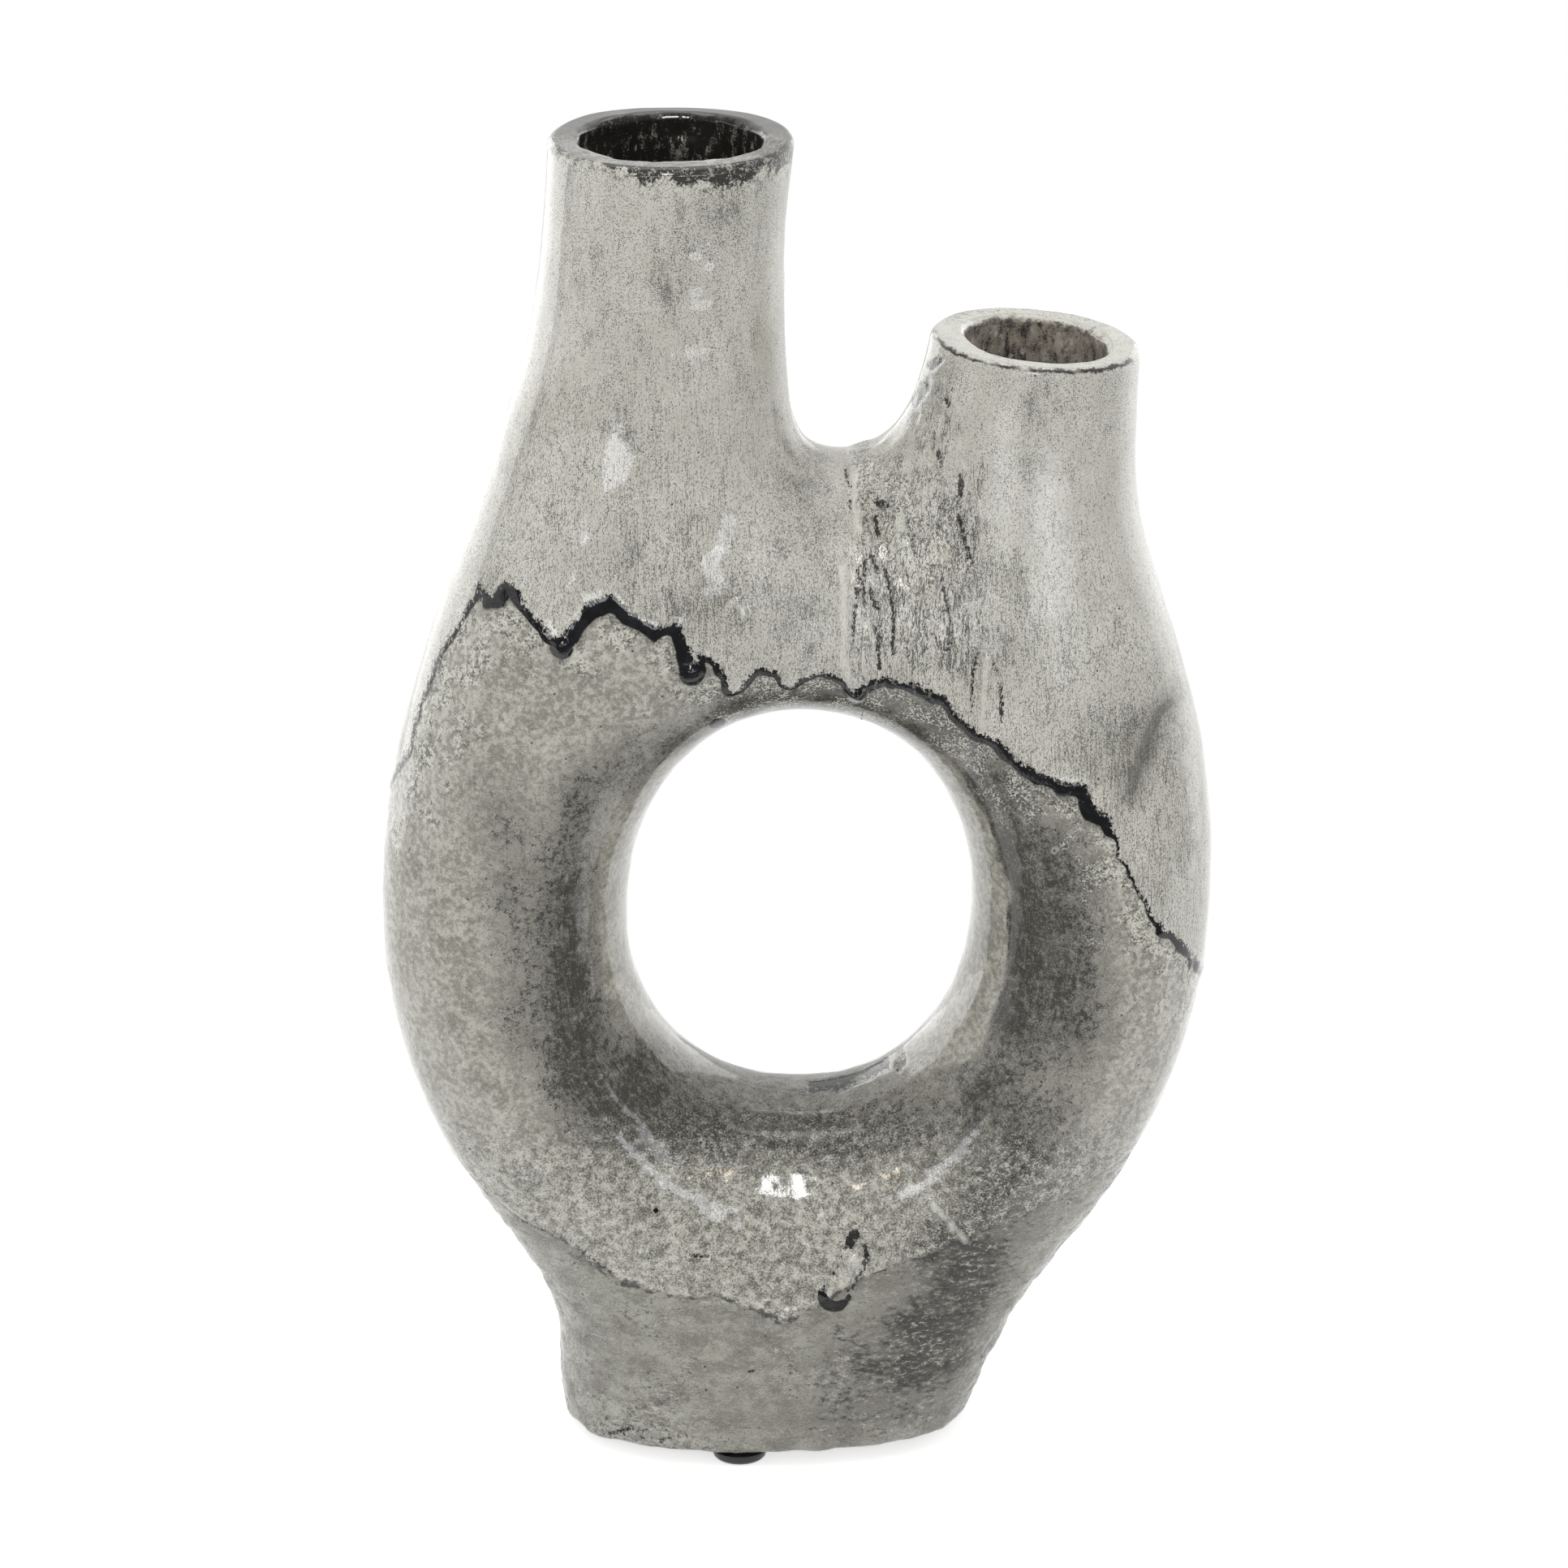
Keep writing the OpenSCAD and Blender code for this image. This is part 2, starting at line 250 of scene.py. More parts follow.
    def gain(self, x: Array, z: Array) -> Array:
        """Depth gained per mm of room."""
        right = soft_step(x - self.short_from_share * self.half_w, self.short_soft_share * self.half_w)
        high = soft_step(z - self.short_up_share * self.height, self.short_up_soft_share * self.height)
        on_short = right * high
        base = smooth_curve(np.array(self.depth_shares), z, 2 * self.step)[0]
        return self.depth / 2 * (base * (1 - on_short) + self.short_depth_share * on_short)

    def depth_squared(self, x: Array, z: Array, inset: Array | float = 0.0) -> Array:
        """Square of the half depth of the skin that lies inset mm deep."""
        room = 1 / sum(1 / (e - inset + 1e-9) for e in self.edges(x, z))
        return 2 * (self.gain(x, z) - inset) * room

    def half_depth(self, x: Array, z: Array, inset: Array | float = 0.0) -> Array:
        """Half depth of the skin that lies inset mm deep."""
        return np.sqrt(np.maximum(self.depth_squared(x, z, inset), 0))

    def normal(self, p: Array, inset: Array | float = 0.0) -> Array:
        """Outward unit normals of the skin, from the slope of its closed form.

        Args:
            p: (N, 3) points on the skin.
            inset: depth of the skin under the surface at each point.

        Returns:
            (N, 3) unit vectors.
        """
        h = 0.05
        x, y, z = p.T
        n = np.stack(
            [
                (self.depth_squared(x - h, z, inset) - self.depth_squared(x + h, z, inset)) / (2 * h),
                2 * y,
                (self.depth_squared(x, z - h, inset) - self.depth_squared(x, z + h, inset)) / (2 * h),
            ],
            axis=1,
        )
        return n / np.linalg.norm(n, axis=1, keepdims=True)

    def run(self, x: Array, z: Array, ux: Array, uz: Array, inset: Array | float) -> Array:
        """How far rays run in the middle plane until they leave the skin.

        They go in strides of a wall's thickness first, and then by halving the last stride.
        """
        x, z, ux, uz = np.broadcast_arrays(x, z, ux, uz)
        near = np.zeros(x.shape)
        going = np.ones(x.shape, bool)
        for _ in range(int(self.half_w / self.wall)):
            to = near + self.wall
            going &= np.minimum.reduce(self.edges(x + to * ux, z + to * uz)) > inset
            near = np.where(going, to, near)
        far = near + self.wall
        for _ in range(HALVINGS):
            mid = (near + far) / 2
            inside = np.minimum.reduce(self.edges(x + mid * ux, z + mid * uz)) > inset
            near, far = np.where(inside, mid, near), np.where(inside, far, mid)
        return (near + far) / 2

    def level_ends(self, at: float, level: Array, tilt: Array, inset: Array) -> tuple[Array, Array]:
        """Left and right end of cuts whose planes fall by tilt per mm of x and pass level at x = at."""
        n = np.hypot(1, tilt)
        left = at - self.run(at, level, -1 / n, tilt / n, inset) / n
        right = at + self.run(at, level, 1 / n, -tilt / n, inset) / n
        return left, right


# Noise


def hash_noise(ix: Array, iy: Array, iz: Array, seed: int) -> Array:
    """Repeatable values from -1 to 1 at whole-number lattice points."""
    ix, iy, iz = (i.astype(np.int64) for i in (ix, iy, iz))
    h = (ix * 374761393 + iy * 668265263 + iz * 2147483647) ^ (seed * 1274126177)
    h = (h ^ (h >> 13)) * 1103515245 & 0xFFFFFFFF
    h = (h ^ (h >> 16)) * 2246822519 & 0xFFFFFFFF
    return (h & 0xFFFFFF) / float(0xFFFFFF) * 2 - 1


def lumps(p: Array, size: float | tuple[float, float, float], seed: int) -> Array:
    """Smooth lattice noise from about -1 to 1.

    Args:
        p: (N, 3) points in mm.
        size: lattice spacing in mm, one value or one for each axis.
        seed: picks another pattern.

    Returns:
        (N,) values.
    """
    q = p / np.broadcast_to(np.asarray(size, float), 3)
    cell = np.floor(q).astype(np.int64)
    f = q - cell
    f = f * f * f * (f * (f * 6 - 15) + 10)
    total = np.zeros(len(p))
    for corner in np.ndindex(2, 2, 2):
        weight = np.prod([f[:, k] if c else 1 - f[:, k] for k, c in enumerate(corner)], axis=0)
        total += weight * hash_noise(*(cell[:, k] + c for k, c in enumerate(corner)), seed)
    return total * 1.4


# Glaze map


def segment_distance(x: Array, z: Array, a: Array, b: Array) -> tuple[Array, Array]:
    """Distance from places to the segment from a to b, and how far along it the nearest point is."""
    dx, dz = b[0] - a[0], b[1] - a[1]
    t = np.clip(((x - a[0]) * dx + (z - a[1]) * dz) / max(dx * dx + dz * dz, 1e-9), 0, 1)
    return np.hypot(x - a[0] - t * dx, z - a[1] - t * dz), t


def map_grid() -> tuple[Array, Array]:
    """Places across and upward of every point of the map."""
    xs = np.arange(-MAP_HALF_W, MAP_HALF_W + MAP_CELL, MAP_CELL)
    zs = np.arange(0, MAP_HEIGHT + MAP_CELL, MAP_CELL)
    return np.meshgrid(xs, zs)


def read_map(raster: Array, x: Array, z: Array) -> Array:
    """Reads rasters (..., rows, columns) on the map between their points."""
    u = np.clip((x + MAP_HALF_W) / MAP_CELL, 0, raster.shape[-1] - 1.001)
    v = np.clip(z / MAP_CELL, 0, raster.shape[-2] - 1.001)
    i, j = u.astype(int), v.astype(int)
    fu, fv = u - i, v - j
    low = raster[..., j, i] * (1 - fu) + raster[..., j, i + 1] * fu
    high = raster[..., j + 1, i] * (1 - fu) + raster[..., j + 1, i + 1] * fu
    return low * (1 - fv) + high * fv


@dataclass
class GlazeLine:
    """Edge of a glaze coat drawn over the front or the back, in mm.

    Each point is (x, z, half width of the dark bead along the edge). The distance to the line
    and its width are worked out once on a raster and then read anywhere.
    """

    points: tuple[tuple[float, float, float], ...]
    raster: Array = field(init=False, repr=False)

    def __post_init__(self) -> None:
        """Works out distance above the line and bead width on the map."""
        gx, gz = map_grid()
        pts = np.array(self.points)
        best = np.full(gx.shape, 1e9)
        width = np.zeros(gx.shape)
        for a, b in zip(pts[:-1], pts[1:]):
            d, t = segment_distance(gx, gz, a, b)
            closer = d < best
            best = np.where(closer, d, best)
            width = np.where(closer, a[2] + (b[2] - a[2]) * t, width)
        order = np.argsort(pts[:, 0], kind="stable")
        edge = np.interp(gx[0], pts[order, 0], pts[order, 1])
        above = gz > edge[None, :]
        self.raster = np.stack([np.where(above, best, -best), width])

    def read(self, x: Array, z: Array) -> tuple[Array, Array]:
        """Signed distance to the line (positive above it) and bead width."""
        above, width = read_map(self.raster, x, z)
        return above, width


UPPER_FRONT = (
    (-125, 186, 0.4), (-117, 190, 0.4), (-108, 207, 0.4), (-104, 222, 0.4), (-98, 237, 0.4),
    (-92, 249, 0.5), (-88, 256, 0.6), (-87, 259, 1.0), (-86, 255, 1.4), (-83, 256, 1.5), (-80, 260.5, 1.5),
    (-76, 256, 1.2), (-71, 251, 0.9), (-67, 246.5, 1.3), (-64.5, 245, 2.5), (-60, 251, 1.7),
    (-56, 256, 1.9), (-51, 258, 1.9), (-47, 254.5, 1.8), (-43, 252, 1.5), (-38, 249, 1.8), (-34, 250, 1.5),
    (-31.5, 245, 1.4), (-30.5, 239, 1.8), (-28.7, 236.8, 2.6), (-26.5, 239, 1.3), (-26, 242, 1.1),
    (-22, 239.5, 1.3), (-19.4, 233, 1.0), (-18, 229.5, 0.6), (-14.5, 231, 0.6), (-11, 237, 0.9),
    (-6, 236, 1.0), (-3.4, 231, 0.5), (-1.8, 230.5, 0.4), (2, 234, 0.7), (7.5, 236, 0.8), (13, 233, 0.8),
    (16.4, 228.6, 1.5), (19.4, 232, 1.1), (24.5, 234, 1.4), (31, 232, 1.3), (39, 229, 1.3),
    (44.5, 223, 1.2), (49, 218, 1.4), (55, 216, 1.4), (60, 212, 1.3), (66, 206, 1.4), (72, 204.5, 2.0),
    (78, 203.5, 1.6), (81, 197, 1.5), (85, 194.5, 1.2), (87.5, 190, 0.9), (88.5, 186, 0.4),
    (90, 182.5, 0.4), (92, 177, 0.35), (95, 171, 0.35), (97, 166.5, 0.4), (99, 162.5, 0.7),
    (101.5, 160, 0.8), (104.5, 156.5, 1.0), (107, 152.5, 0.8), (109.5, 149, 0.9), (112, 143, 0.8),
    (117, 135, 0.4), (125, 131, 0.4),
)
UPPER_BACK = (
    (-125, 186, 0.4), (-117, 190, 0.4), (-110, 193, 0.8), (-104, 190, 1.2), (-98, 197, 1.4),
    (-91, 203, 1.3), (-84, 199, 2.2), (-77, 208, 1.4), (-70, 214, 1.5), (-63, 211, 1.2), (-55, 221, 1.4),
    (-47, 224, 1.9), (-40, 217, 2.4), (-33, 228, 1.4), (-25, 233, 1.0), (-16, 230, 0.7), (-8, 236, 0.8),
    (0, 238, 0.7), (8, 232, 1.0), (17, 230, 1.3), (26, 237, 1.2), (35, 241, 1.3), (44, 238, 1.5),
    (52, 229, 2.4), (60, 236, 1.5), (68, 233, 1.2), (76, 222, 1.3), (84, 212, 1.8), (91, 199, 1.2),
    (98, 183, 0.8), (105, 164, 0.7), (111, 148, 0.6), (117, 135, 0.4), (125, 131, 0.4),
)
LOWER_FRONT = (
    (-125, 96, 0.3), (-98, 84, 0.3), (-85, 75, 0.4), (-77, 70, 0.5), (-70, 69.5, 0.5), (-66, 68, 0.6),
    (-60, 61, 0.5), (-55, 58, 0.9), (-50, 55.5, 1.2), (-44, 54, 1.0), (-39, 53, 0.7), (-33, 51.5, 0.5),
    (-29, 50.5, 0.5), (-23, 53, 0.6), (-17, 50.5, 0.5), (-12, 48.5, 0.6), (-7, 46.5, 0.6),
    (-3.5, 44.8, 0.7), (1, 46.8, 0.5), (6, 50, 0.6), (12, 54, 0.5), (24, 60, 0.2), (40, 66, 0.1),
    (60, 74, 0.1), (90, 86, 0.1), (125, 100, 0.1),
)


@dataclass(frozen=True)
class Blob:
    """A bead of pooled glaze on the front: centre, radius and swell, in mm."""

    x: float
    z: float
    radius: float
    swell: float


BEADS = (
    Blob(-64.5, 245.2, 3.4, 1.3),
    Blob(-28.9, 236.9, 3.6, 1.3),
    Blob(10.6, 52.2, 4.4, 2.2),
    Blob(16.3, 228.8, 2.6, 0.8),
    Blob(-3.8, 45.2, 2.2, 0.25),
    Blob(73.0, 204.0, 3.0, 0.6),
)
SPOTS = (Blob(-21.8, 218.6, 2.4, 0.0), Blob(-39.5, 78.0, 0.9, 0.0))


@dataclass(frozen=True)
class PhotoView:
    """The photo's camera, in mm and photo pixels, for what is placed by reading the photo."""

    size: float = 1932.0
    zero_px: float = 981.7
    mm_per_px: float = 0.227
    distance: float = 2450.0
    elevation: float = math.radians(19.5)
    aim_z: float = 192.7
    first_y: float = -30.0
    rounds: int = 50
    caution: float = 0.6

    @property
    def aim(self) -> Array:
        """Point that the camera looks at."""
        return np.array([(self.size / 2 - self.zero_px) * self.mm_per_px, 0.0, self.aim_z])

    @property
    def back(self) -> Array:
        """Unit vector from the vase to the camera."""
        return np.array([0.0, -math.cos(self.elevation), math.sin(self.elevation)])

    def on_skin(self, form: VaseForm, pixels: Array) -> Array:
        """Places of photo pixels on the front skin, as (N, 2) x and z in mm."""
        up = np.array([0.0, math.sin(self.elevation), math.cos(self.elevation)])
        offset = (pixels - self.size / 2) * self.mm_per_px / self.distance
        ray = -self.back + offset[:, :1] * np.array([1.0, 0.0, 0.0]) - offset[:, 1:] * up
        eye = self.aim + self.back * self.distance
        y = np.full(len(pixels), self.first_y)
        for _ in range(self.rounds):
            at = eye + ((y - eye[1]) / ray[:, 1])[:, None] * ray
            y = self.caution * y - (1 - self.caution) * form.half_depth(at[:, 0], at[:, 2])
        return (eye + ((y - eye[1]) / ray[:, 1])[:, None] * ray)[:, [0, 2]]


@dataclass(frozen=True)
class Stroke:
    """A crack, ridge or soft band drawn on the front: half width in mm and photo pixels along it."""

    width: float
    path: tuple[tuple[float, float], ...]


CRACKS = (
    Stroke(0.40, ((1058, 700), (1056, 735), (1053, 763), (1051, 792))),
    Stroke(0.35, ((1067, 690), (1064, 716), (1064, 748))),
    Stroke(0.50, ((1074, 684), (1082, 705))),
    Stroke(0.45, ((1073, 729), (1075, 740), (1081, 755))),
    Stroke(0.40, ((1089, 697), (1095, 722), (1099, 748), (1101, 776), (1100, 812))),
    Stroke(0.50, ((1077, 778), (1082, 790), (1082, 810), (1083, 828))),
    Stroke(0.70, ((1078, 614), (1092, 620))),
    Stroke(0.60, ((1078, 636), (1082, 655))),
    Stroke(0.55, ((1156, 556), (1158, 566))),
    Stroke(0.60, ((1180, 588), (1184, 600), (1181, 613))),
    Stroke(0.55, ((1180, 634), (1185, 660), (1197, 694))),
    Stroke(0.35, ((1159, 704), (1164, 735), (1170, 766), (1169, 798))),
    Stroke(0.35, ((1205, 806), (1198, 834), (1197, 880))),
    Stroke(0.45, ((1225, 819), (1233, 841), (1234, 890))),
    Stroke(0.30, ((1150, 785), (1158, 800), (1171, 808))),
    Stroke(0.60, ((1126, 498), (1134, 486), (1142, 476))),
    Stroke(0.50, ((1146, 453), (1159, 443))),
    Stroke(0.60, ((1167, 492), (1169, 500))),
    Stroke(0.40, ((640, 1507), (690, 1524), (723, 1547), (752, 1570))),
    Stroke(0.45, ((848, 1549), (873, 1550))),
    Stroke(0.70, ((1067, 1534), (1069, 1546), (1066, 1562), (1056, 1580), (1046, 1592))),
    Stroke(0.30, ((1040, 1540), (1034, 1560), (1020, 1582))),
    Stroke(1.45, ((1053, 1522), (1047, 1534))),
    Stroke(0.30, ((907, 1692), (919, 1695), (932, 1691))),
    Stroke(0.35, ((745, 1768), (761, 1766), (778, 1762))),
    Stroke(0.45, ((997, 1334), (1035, 1335), (1068, 1322), (1093, 1304))),
    Stroke(0.40, ((1105, 1315), (1114, 1303))),
    Stroke(0.30, ((1040, 575), (1048, 600), (1046, 625))),
)
RIDGES = (
    Stroke(1.1, ((1039, 700), (1039, 770), (1040, 822), (1051, 843))),
    Stroke(0.8, ((1068, 755), (1067, 800), (1064, 830))),
    Stroke(1.2, ((1052, 560), (1050, 600), (1058, 650))),
    Stroke(0.7, ((1146, 1482), (1170, 1508), (1192, 1533))),
    Stroke(0.9, ((1216, 812), (1214, 850), (1210, 895))),
    Stroke(1.4, ((1105, 620), (1112, 660), (1118, 700))),
    Stroke(0.8, ((910, 745), (918, 762))),
    Stroke(1.0, ((1052, 1552), (1042, 1572), (1034, 1584))),
)
BANDS = (Stroke(1.5, ((1440, 868), (1427, 880), (1416, 905), (1402, 945), (1394, 975))),)
# soft darker patches of the upper coat, partly its own clouds and partly painted shade, as in the hollow at
# the tall neck's base by the slot: photo pixels, reach across and up in mm, strength
UPPER_CLOUDS_AND_SHADE = (
    (830, 390, 12, 26, 0.30), (770, 500, 7, 22, 0.35), (915, 470, 6, 20, 0.25), (990, 600, 9, 12, 0.45),
    (985, 735, 14, 18, 0.42), (870, 750, 14, 12, 0.38), (775, 690, 6, 14, 0.35), (1190, 680, 7, 24, 0.35),
    (1165, 520, 7, 18, 0.15), (1100, 760, 12, 18, 0.15), (1380, 905, 11, 14, 0.42),
    (1320, 880, 12, 14, 0.18), (1455, 900, 9, 26, 0.28), (1440, 1060, 8, 20, 0.25),
    (1280, 540, 8, 22, 0.35), (1240, 800, 12, 12, 0.35), (1320, 440, 26, 24, 0.20),
    (885, 262, 16, 10, 0.38), (700, 220, 8, 10, 0.20), (720, 350, 8, 20, 0.28), (640, 640, 10, 16, 0.20),
)
# dark patches of the lower coat, mostly its own dark zones; at the foot's right end and low on the foot they
# are partly painted shade: x, z, reach across, reach up, strength
DARK_ZONES_AND_SHADE = (
    (-60, 196, 7, 16, 0.55), (-63, 172, 8, 18, 0.75), (-63, 146, 8, 20, 0.95), (-60, 124, 10, 16, 0.95),
    (-50, 108, 14, 12, 0.95), (-34, 101, 16, 11, 0.85), (-12, 98, 18, 9, 0.62), (14, 97, 16, 9, 0.60),
    (36, 101, 14, 10, 0.62), (-44, 116, 9, 8, 0.75), (52, 112, 11, 13, 0.70), (58, 134, 12, 16, 0.86),
    (60, 156, 14, 18, 1.00), (58, 180, 12, 16, 1.00), (52, 200, 12, 12, 0.92), (38, 218, 14, 10, 0.92),
    (12, 227, 24, 8, 0.97), (-12, 226, 14, 8, 0.94), (-34, 214, 12, 8, 0.66), (-48, 206, 10, 10, 0.50),
    (74, 170, 12, 30, 0.62), (76, 138, 12, 20, 0.62), (66, 100, 16, 14, 0.58), (58, 82, 14, 12, 0.62),
    (46, 66, 14, 10, 0.90), (48, 54, 12, 10, 0.96), (40, 42, 16, 10, 0.90), (38, 28, 18, 10, 0.84),
    (14, 30, 14, 16, 0.34), (-84, 200, 12, 16, 0.22), (-78, 172, 10, 26, 0.38), (-76, 136, 10, 18, 0.36),
    (20, 14, 30, 5, 0.4),
)


@dataclass
class GlazeMap:
    """Where each coat, bead, seam and dark zone lies on the skin."""

    form: VaseForm
    front: GlazeLine = field(default_factory=lambda: GlazeLine(UPPER_FRONT))
    back: GlazeLine = field(default_factory=lambda: GlazeLine(UPPER_BACK))
    lower: GlazeLine = field(default_factory=lambda: GlazeLine(LOWER_FRONT))
    strokes: dict[str, Array] = field(default_factory=dict, repr=False)

    def __post_init__(self) -> None:
        """Draws the strokes of each kind on the map: how far a point lies inside the nearest one."""
        gx, gz = map_grid()
        for name, strokes in (("crack", CRACKS), ("ridge", RIDGES), ("band", BANDS)):
            best = np.full(gx.shape, NO_STROKE)
            for stroke in strokes:
                path = PhotoView().on_skin(self.form, np.array(stroke.path, float))
                for a, b in zip(path[:-1], path[1:]):
                    best = np.maximum(best, stroke.width - segment_distance(gx, gz, a, b)[0])
            self.strokes[name] = best

    def upper(self, p: Array) -> tuple[Array, Array]:
        """Distance above the upper coat's edge, and the half width of its bead."""
        wobble = 0.6 * lumps(p, 3.6, 11)
        x, z = p[:, 0] + wobble, p[:, 2] + 0.7 * wobble
        behind = fade(p[:, 1], -10, 10)
        d0, w0 = self.front.read(x, z)
        d1, w1 = self.back.read(x, z)
        uneven = 1.1 + 0.35 * lumps(p, 4.0, 13)
        return d0 * (1 - behind) + d1 * behind, (w0 * (1 - behind) + w1 * behind) * uneven

    def low(self, p: Array) -> tuple[Array, Array]:
        """Distance above the lower coat's edge over the foot, and the half width of its line."""
        wobble = 0.7 * lumps(p, 4.0, 21) + 0.4 * lumps(p, 1.8, 22)
        return self.lower.read(p[:, 0] + wobble, p[:, 2] + wobble)

    def beads(self, p: Array) -> Array:
        """Swell of the pooled beads, a dome for each one on the front."""
        total = np.zeros(len(p))
        for b in BEADS:
            r = np.hypot(p[:, 0] - b.x, p[:, 2] - b.z) / b.radius
            dome = np.maximum(1 - r**2, 0) * (p[:, 1] < 0)
            total = np.maximum(total, dome * b.swell)
        return total

    def drip(self, p: Array) -> tuple[Array, Array]:
        """The long run over the foot: nearness to its stem, and height along it."""
        top, end = np.array([17.2, 71.0]), np.array([10.9, 52.5])
        d = p[:, [0, 2]] - top
        axis = end - top
        t = np.clip(d @ axis / (axis @ axis), 0, 1)
        bow = np.stack([1.4 * np.sin(np.pi * t), 0 * t], 1)
        off = np.linalg.norm(d - t[:, None] * axis - bow, axis=1)
        width = 2.2 + 2.2 * t
        return np.clip(1 - (off / width) ** 2, 0, 1) * (p[:, 1] < 0), t

    def seam(self, p: Array) -> Array:
        """1 on the upright seam over the hole, fading sideways."""
        line = self.form.seam_x - 0.6 + 1.2 * lumps(p * [0, 0, 1], 14.0, 31) + 0.5 * lumps(p, 5.0, 32)
        band = np.exp(-(((p[:, 0] - line) / 3.6) ** 2))
        return band * fade(p[:, 2], 222, 236) * (1 - fade(p[:, 2], 292, 302))

    def stroke(self, p: Array, name: str) -> Array:
        """How far points lie inside the strokes of a kind, in mm; negative beside them."""
        value = read_map(self.strokes[name], p[:, 0], p[:, 2])
        return np.where(p[:, 1] < 2, value, NO_STROKE)

    def cloud(self, p: Array) -> Array:
        """Soft darker patches of the upper coat on the front, partly its own clouds and partly painted shade;
        broad lumps take their place behind.
        """
        at = PhotoView().on_skin(self.form, np.array([c[:2] for c in UPPER_CLOUDS_AND_SHADE], float))
        calm = np.ones(len(p))
        for (cx, cz), (_, _, rx, rz, strength) in zip(at, UPPER_CLOUDS_AND_SHADE):
            calm *= 1 - strength * np.exp(-(((p[:, 0] - cx) / rx) ** 2) - ((p[:, 2] - cz) / rz) ** 2)
        back = fade(p[:, 1], -4, 8)
        return (1 - calm) * (1 - back) + 0.5 * fade(lumps(p, (24.0, 24.0, 40.0), 61), 0.0, 0.9) * back

    def pool(self, p: Array) -> Array:
        """How far points lie inside black pooled glaze: whole beads, and a crescent under the drop."""
        x, z = p[:, 0], p[:, 2]
        value = np.full(len(p), -1.0)
        for b in BEADS[:2] + SPOTS:
            value = np.maximum(value, 1 - np.hypot(x - b.x, z - b.z) / b.radius)
        drop = BEADS[2]
        crescent = np.minimum(1.14 - np.hypot(x - drop.x, z - drop.z) / drop.radius,
                              np.hypot(x - drop.x - 1.0, z - drop.z - 2.8) / drop.radius - 0.78)
        return np.where(p[:, 1] < 0, np.maximum(value, crescent), -1.0)

    def valley(self, p: Array) -> Array:
        """1 along the hollow between the two limbs, where they meet over the hole."""
        off = p[:, 0] - self.form.seam_x
        across = np.exp(-((off / np.where(off < 0, 17.0, 22.0)) ** 2))
        return across * fade(p[:, 2], 226, 256) * (1 - fade(p[:, 2], 276, 300))

    def cracks(self, p: Array) -> Array:
        """Where the pulled clay right of the seam and the short neck's flank is cracked."""
        right_of = fade(p[:, 0], 12, 20) * (1 - fade(p[:, 0], 44, 62)) * fade(p[:, 2], 224, 240)
        flank = fade(p[:, 0], 26, 34) * (1 - fade(p[:, 0], 40, 50)) * fade(p[:, 2], 286, 298)
        low = right_of * (1 - 0.75 * fade(p[:, 2], 288, 306))
        return np.maximum(low, flank * (1 - fade(p[:, 2], 312, 320))) * fade(-p[:, 1], -6, 12)

    def dark(self, p: Array) -> Array:
        """Dark zones of the lower coat: round the hole, low on the right and over the bridge; on the hole's
        left wall, under the bridge and at the foot's right end they are partly painted shade.
        """
        x, z = p[:, 0], p[:, 2]
        calm = np.ones(len(p))
        for cx, cz, rx, rz, strength in DARK_ZONES_AND_SHADE:
            calm *= 1 - strength * np.exp(-(((x - cx) / rx) ** 2) - ((z - cz) / rz) ** 2)
        hole = self.form.edges(x, z)[2]
        right, left = fade(x, -20, 50), 1 - fade(x, -20, 20)
        reach = 10.5 * right + 8.0 * (1 - right) - 3.0 * fade(z, 206, 222) * fade(-x, -24, 0)
        reach = reach * fade(z, 104 + 18 * left, 126 + 16 * left) + 1.2 * lumps(p, (6.0, 6.0, 9.0), 62)
        ring = fade(hole, reach - 0.9, reach + 1.1)
        # the hole's left wall and the underside of the bridge over it keep more of the dark: painted shade
        off_ring = 0.10 + 0.32 * left + 0.5 * (1 - fade(z, 104, 120)) + 0.9 * fade(z, 206, 216)
        wall = ring + (1 - ring) * off_ring
        behind = 0.75 * np.exp(-((np.maximum(hole - 6, 0) / 16) ** 2))
        back = fade(p[:, 1], -2, 10)
        return ((1 - calm) * (1 - back) + behind * back) * wall

    def around(self, p: Array) -> Array:
        """Place round the hole as a vector in mm: outward along the skin, then round the ring."""
        f = self.form
        dx, dz = p[:, 0] - f.hole_x, p[:, 2] - f.hole_z
        turn = np.arctan2(dz, dx)
        out = f.edges(p[:, 0], p[:, 2])[2] + 0.9 * np.abs(p[:, 1])
        return np.stack([out, 62 * np.cos(turn), 62 * np.sin(turn)], axis=1)


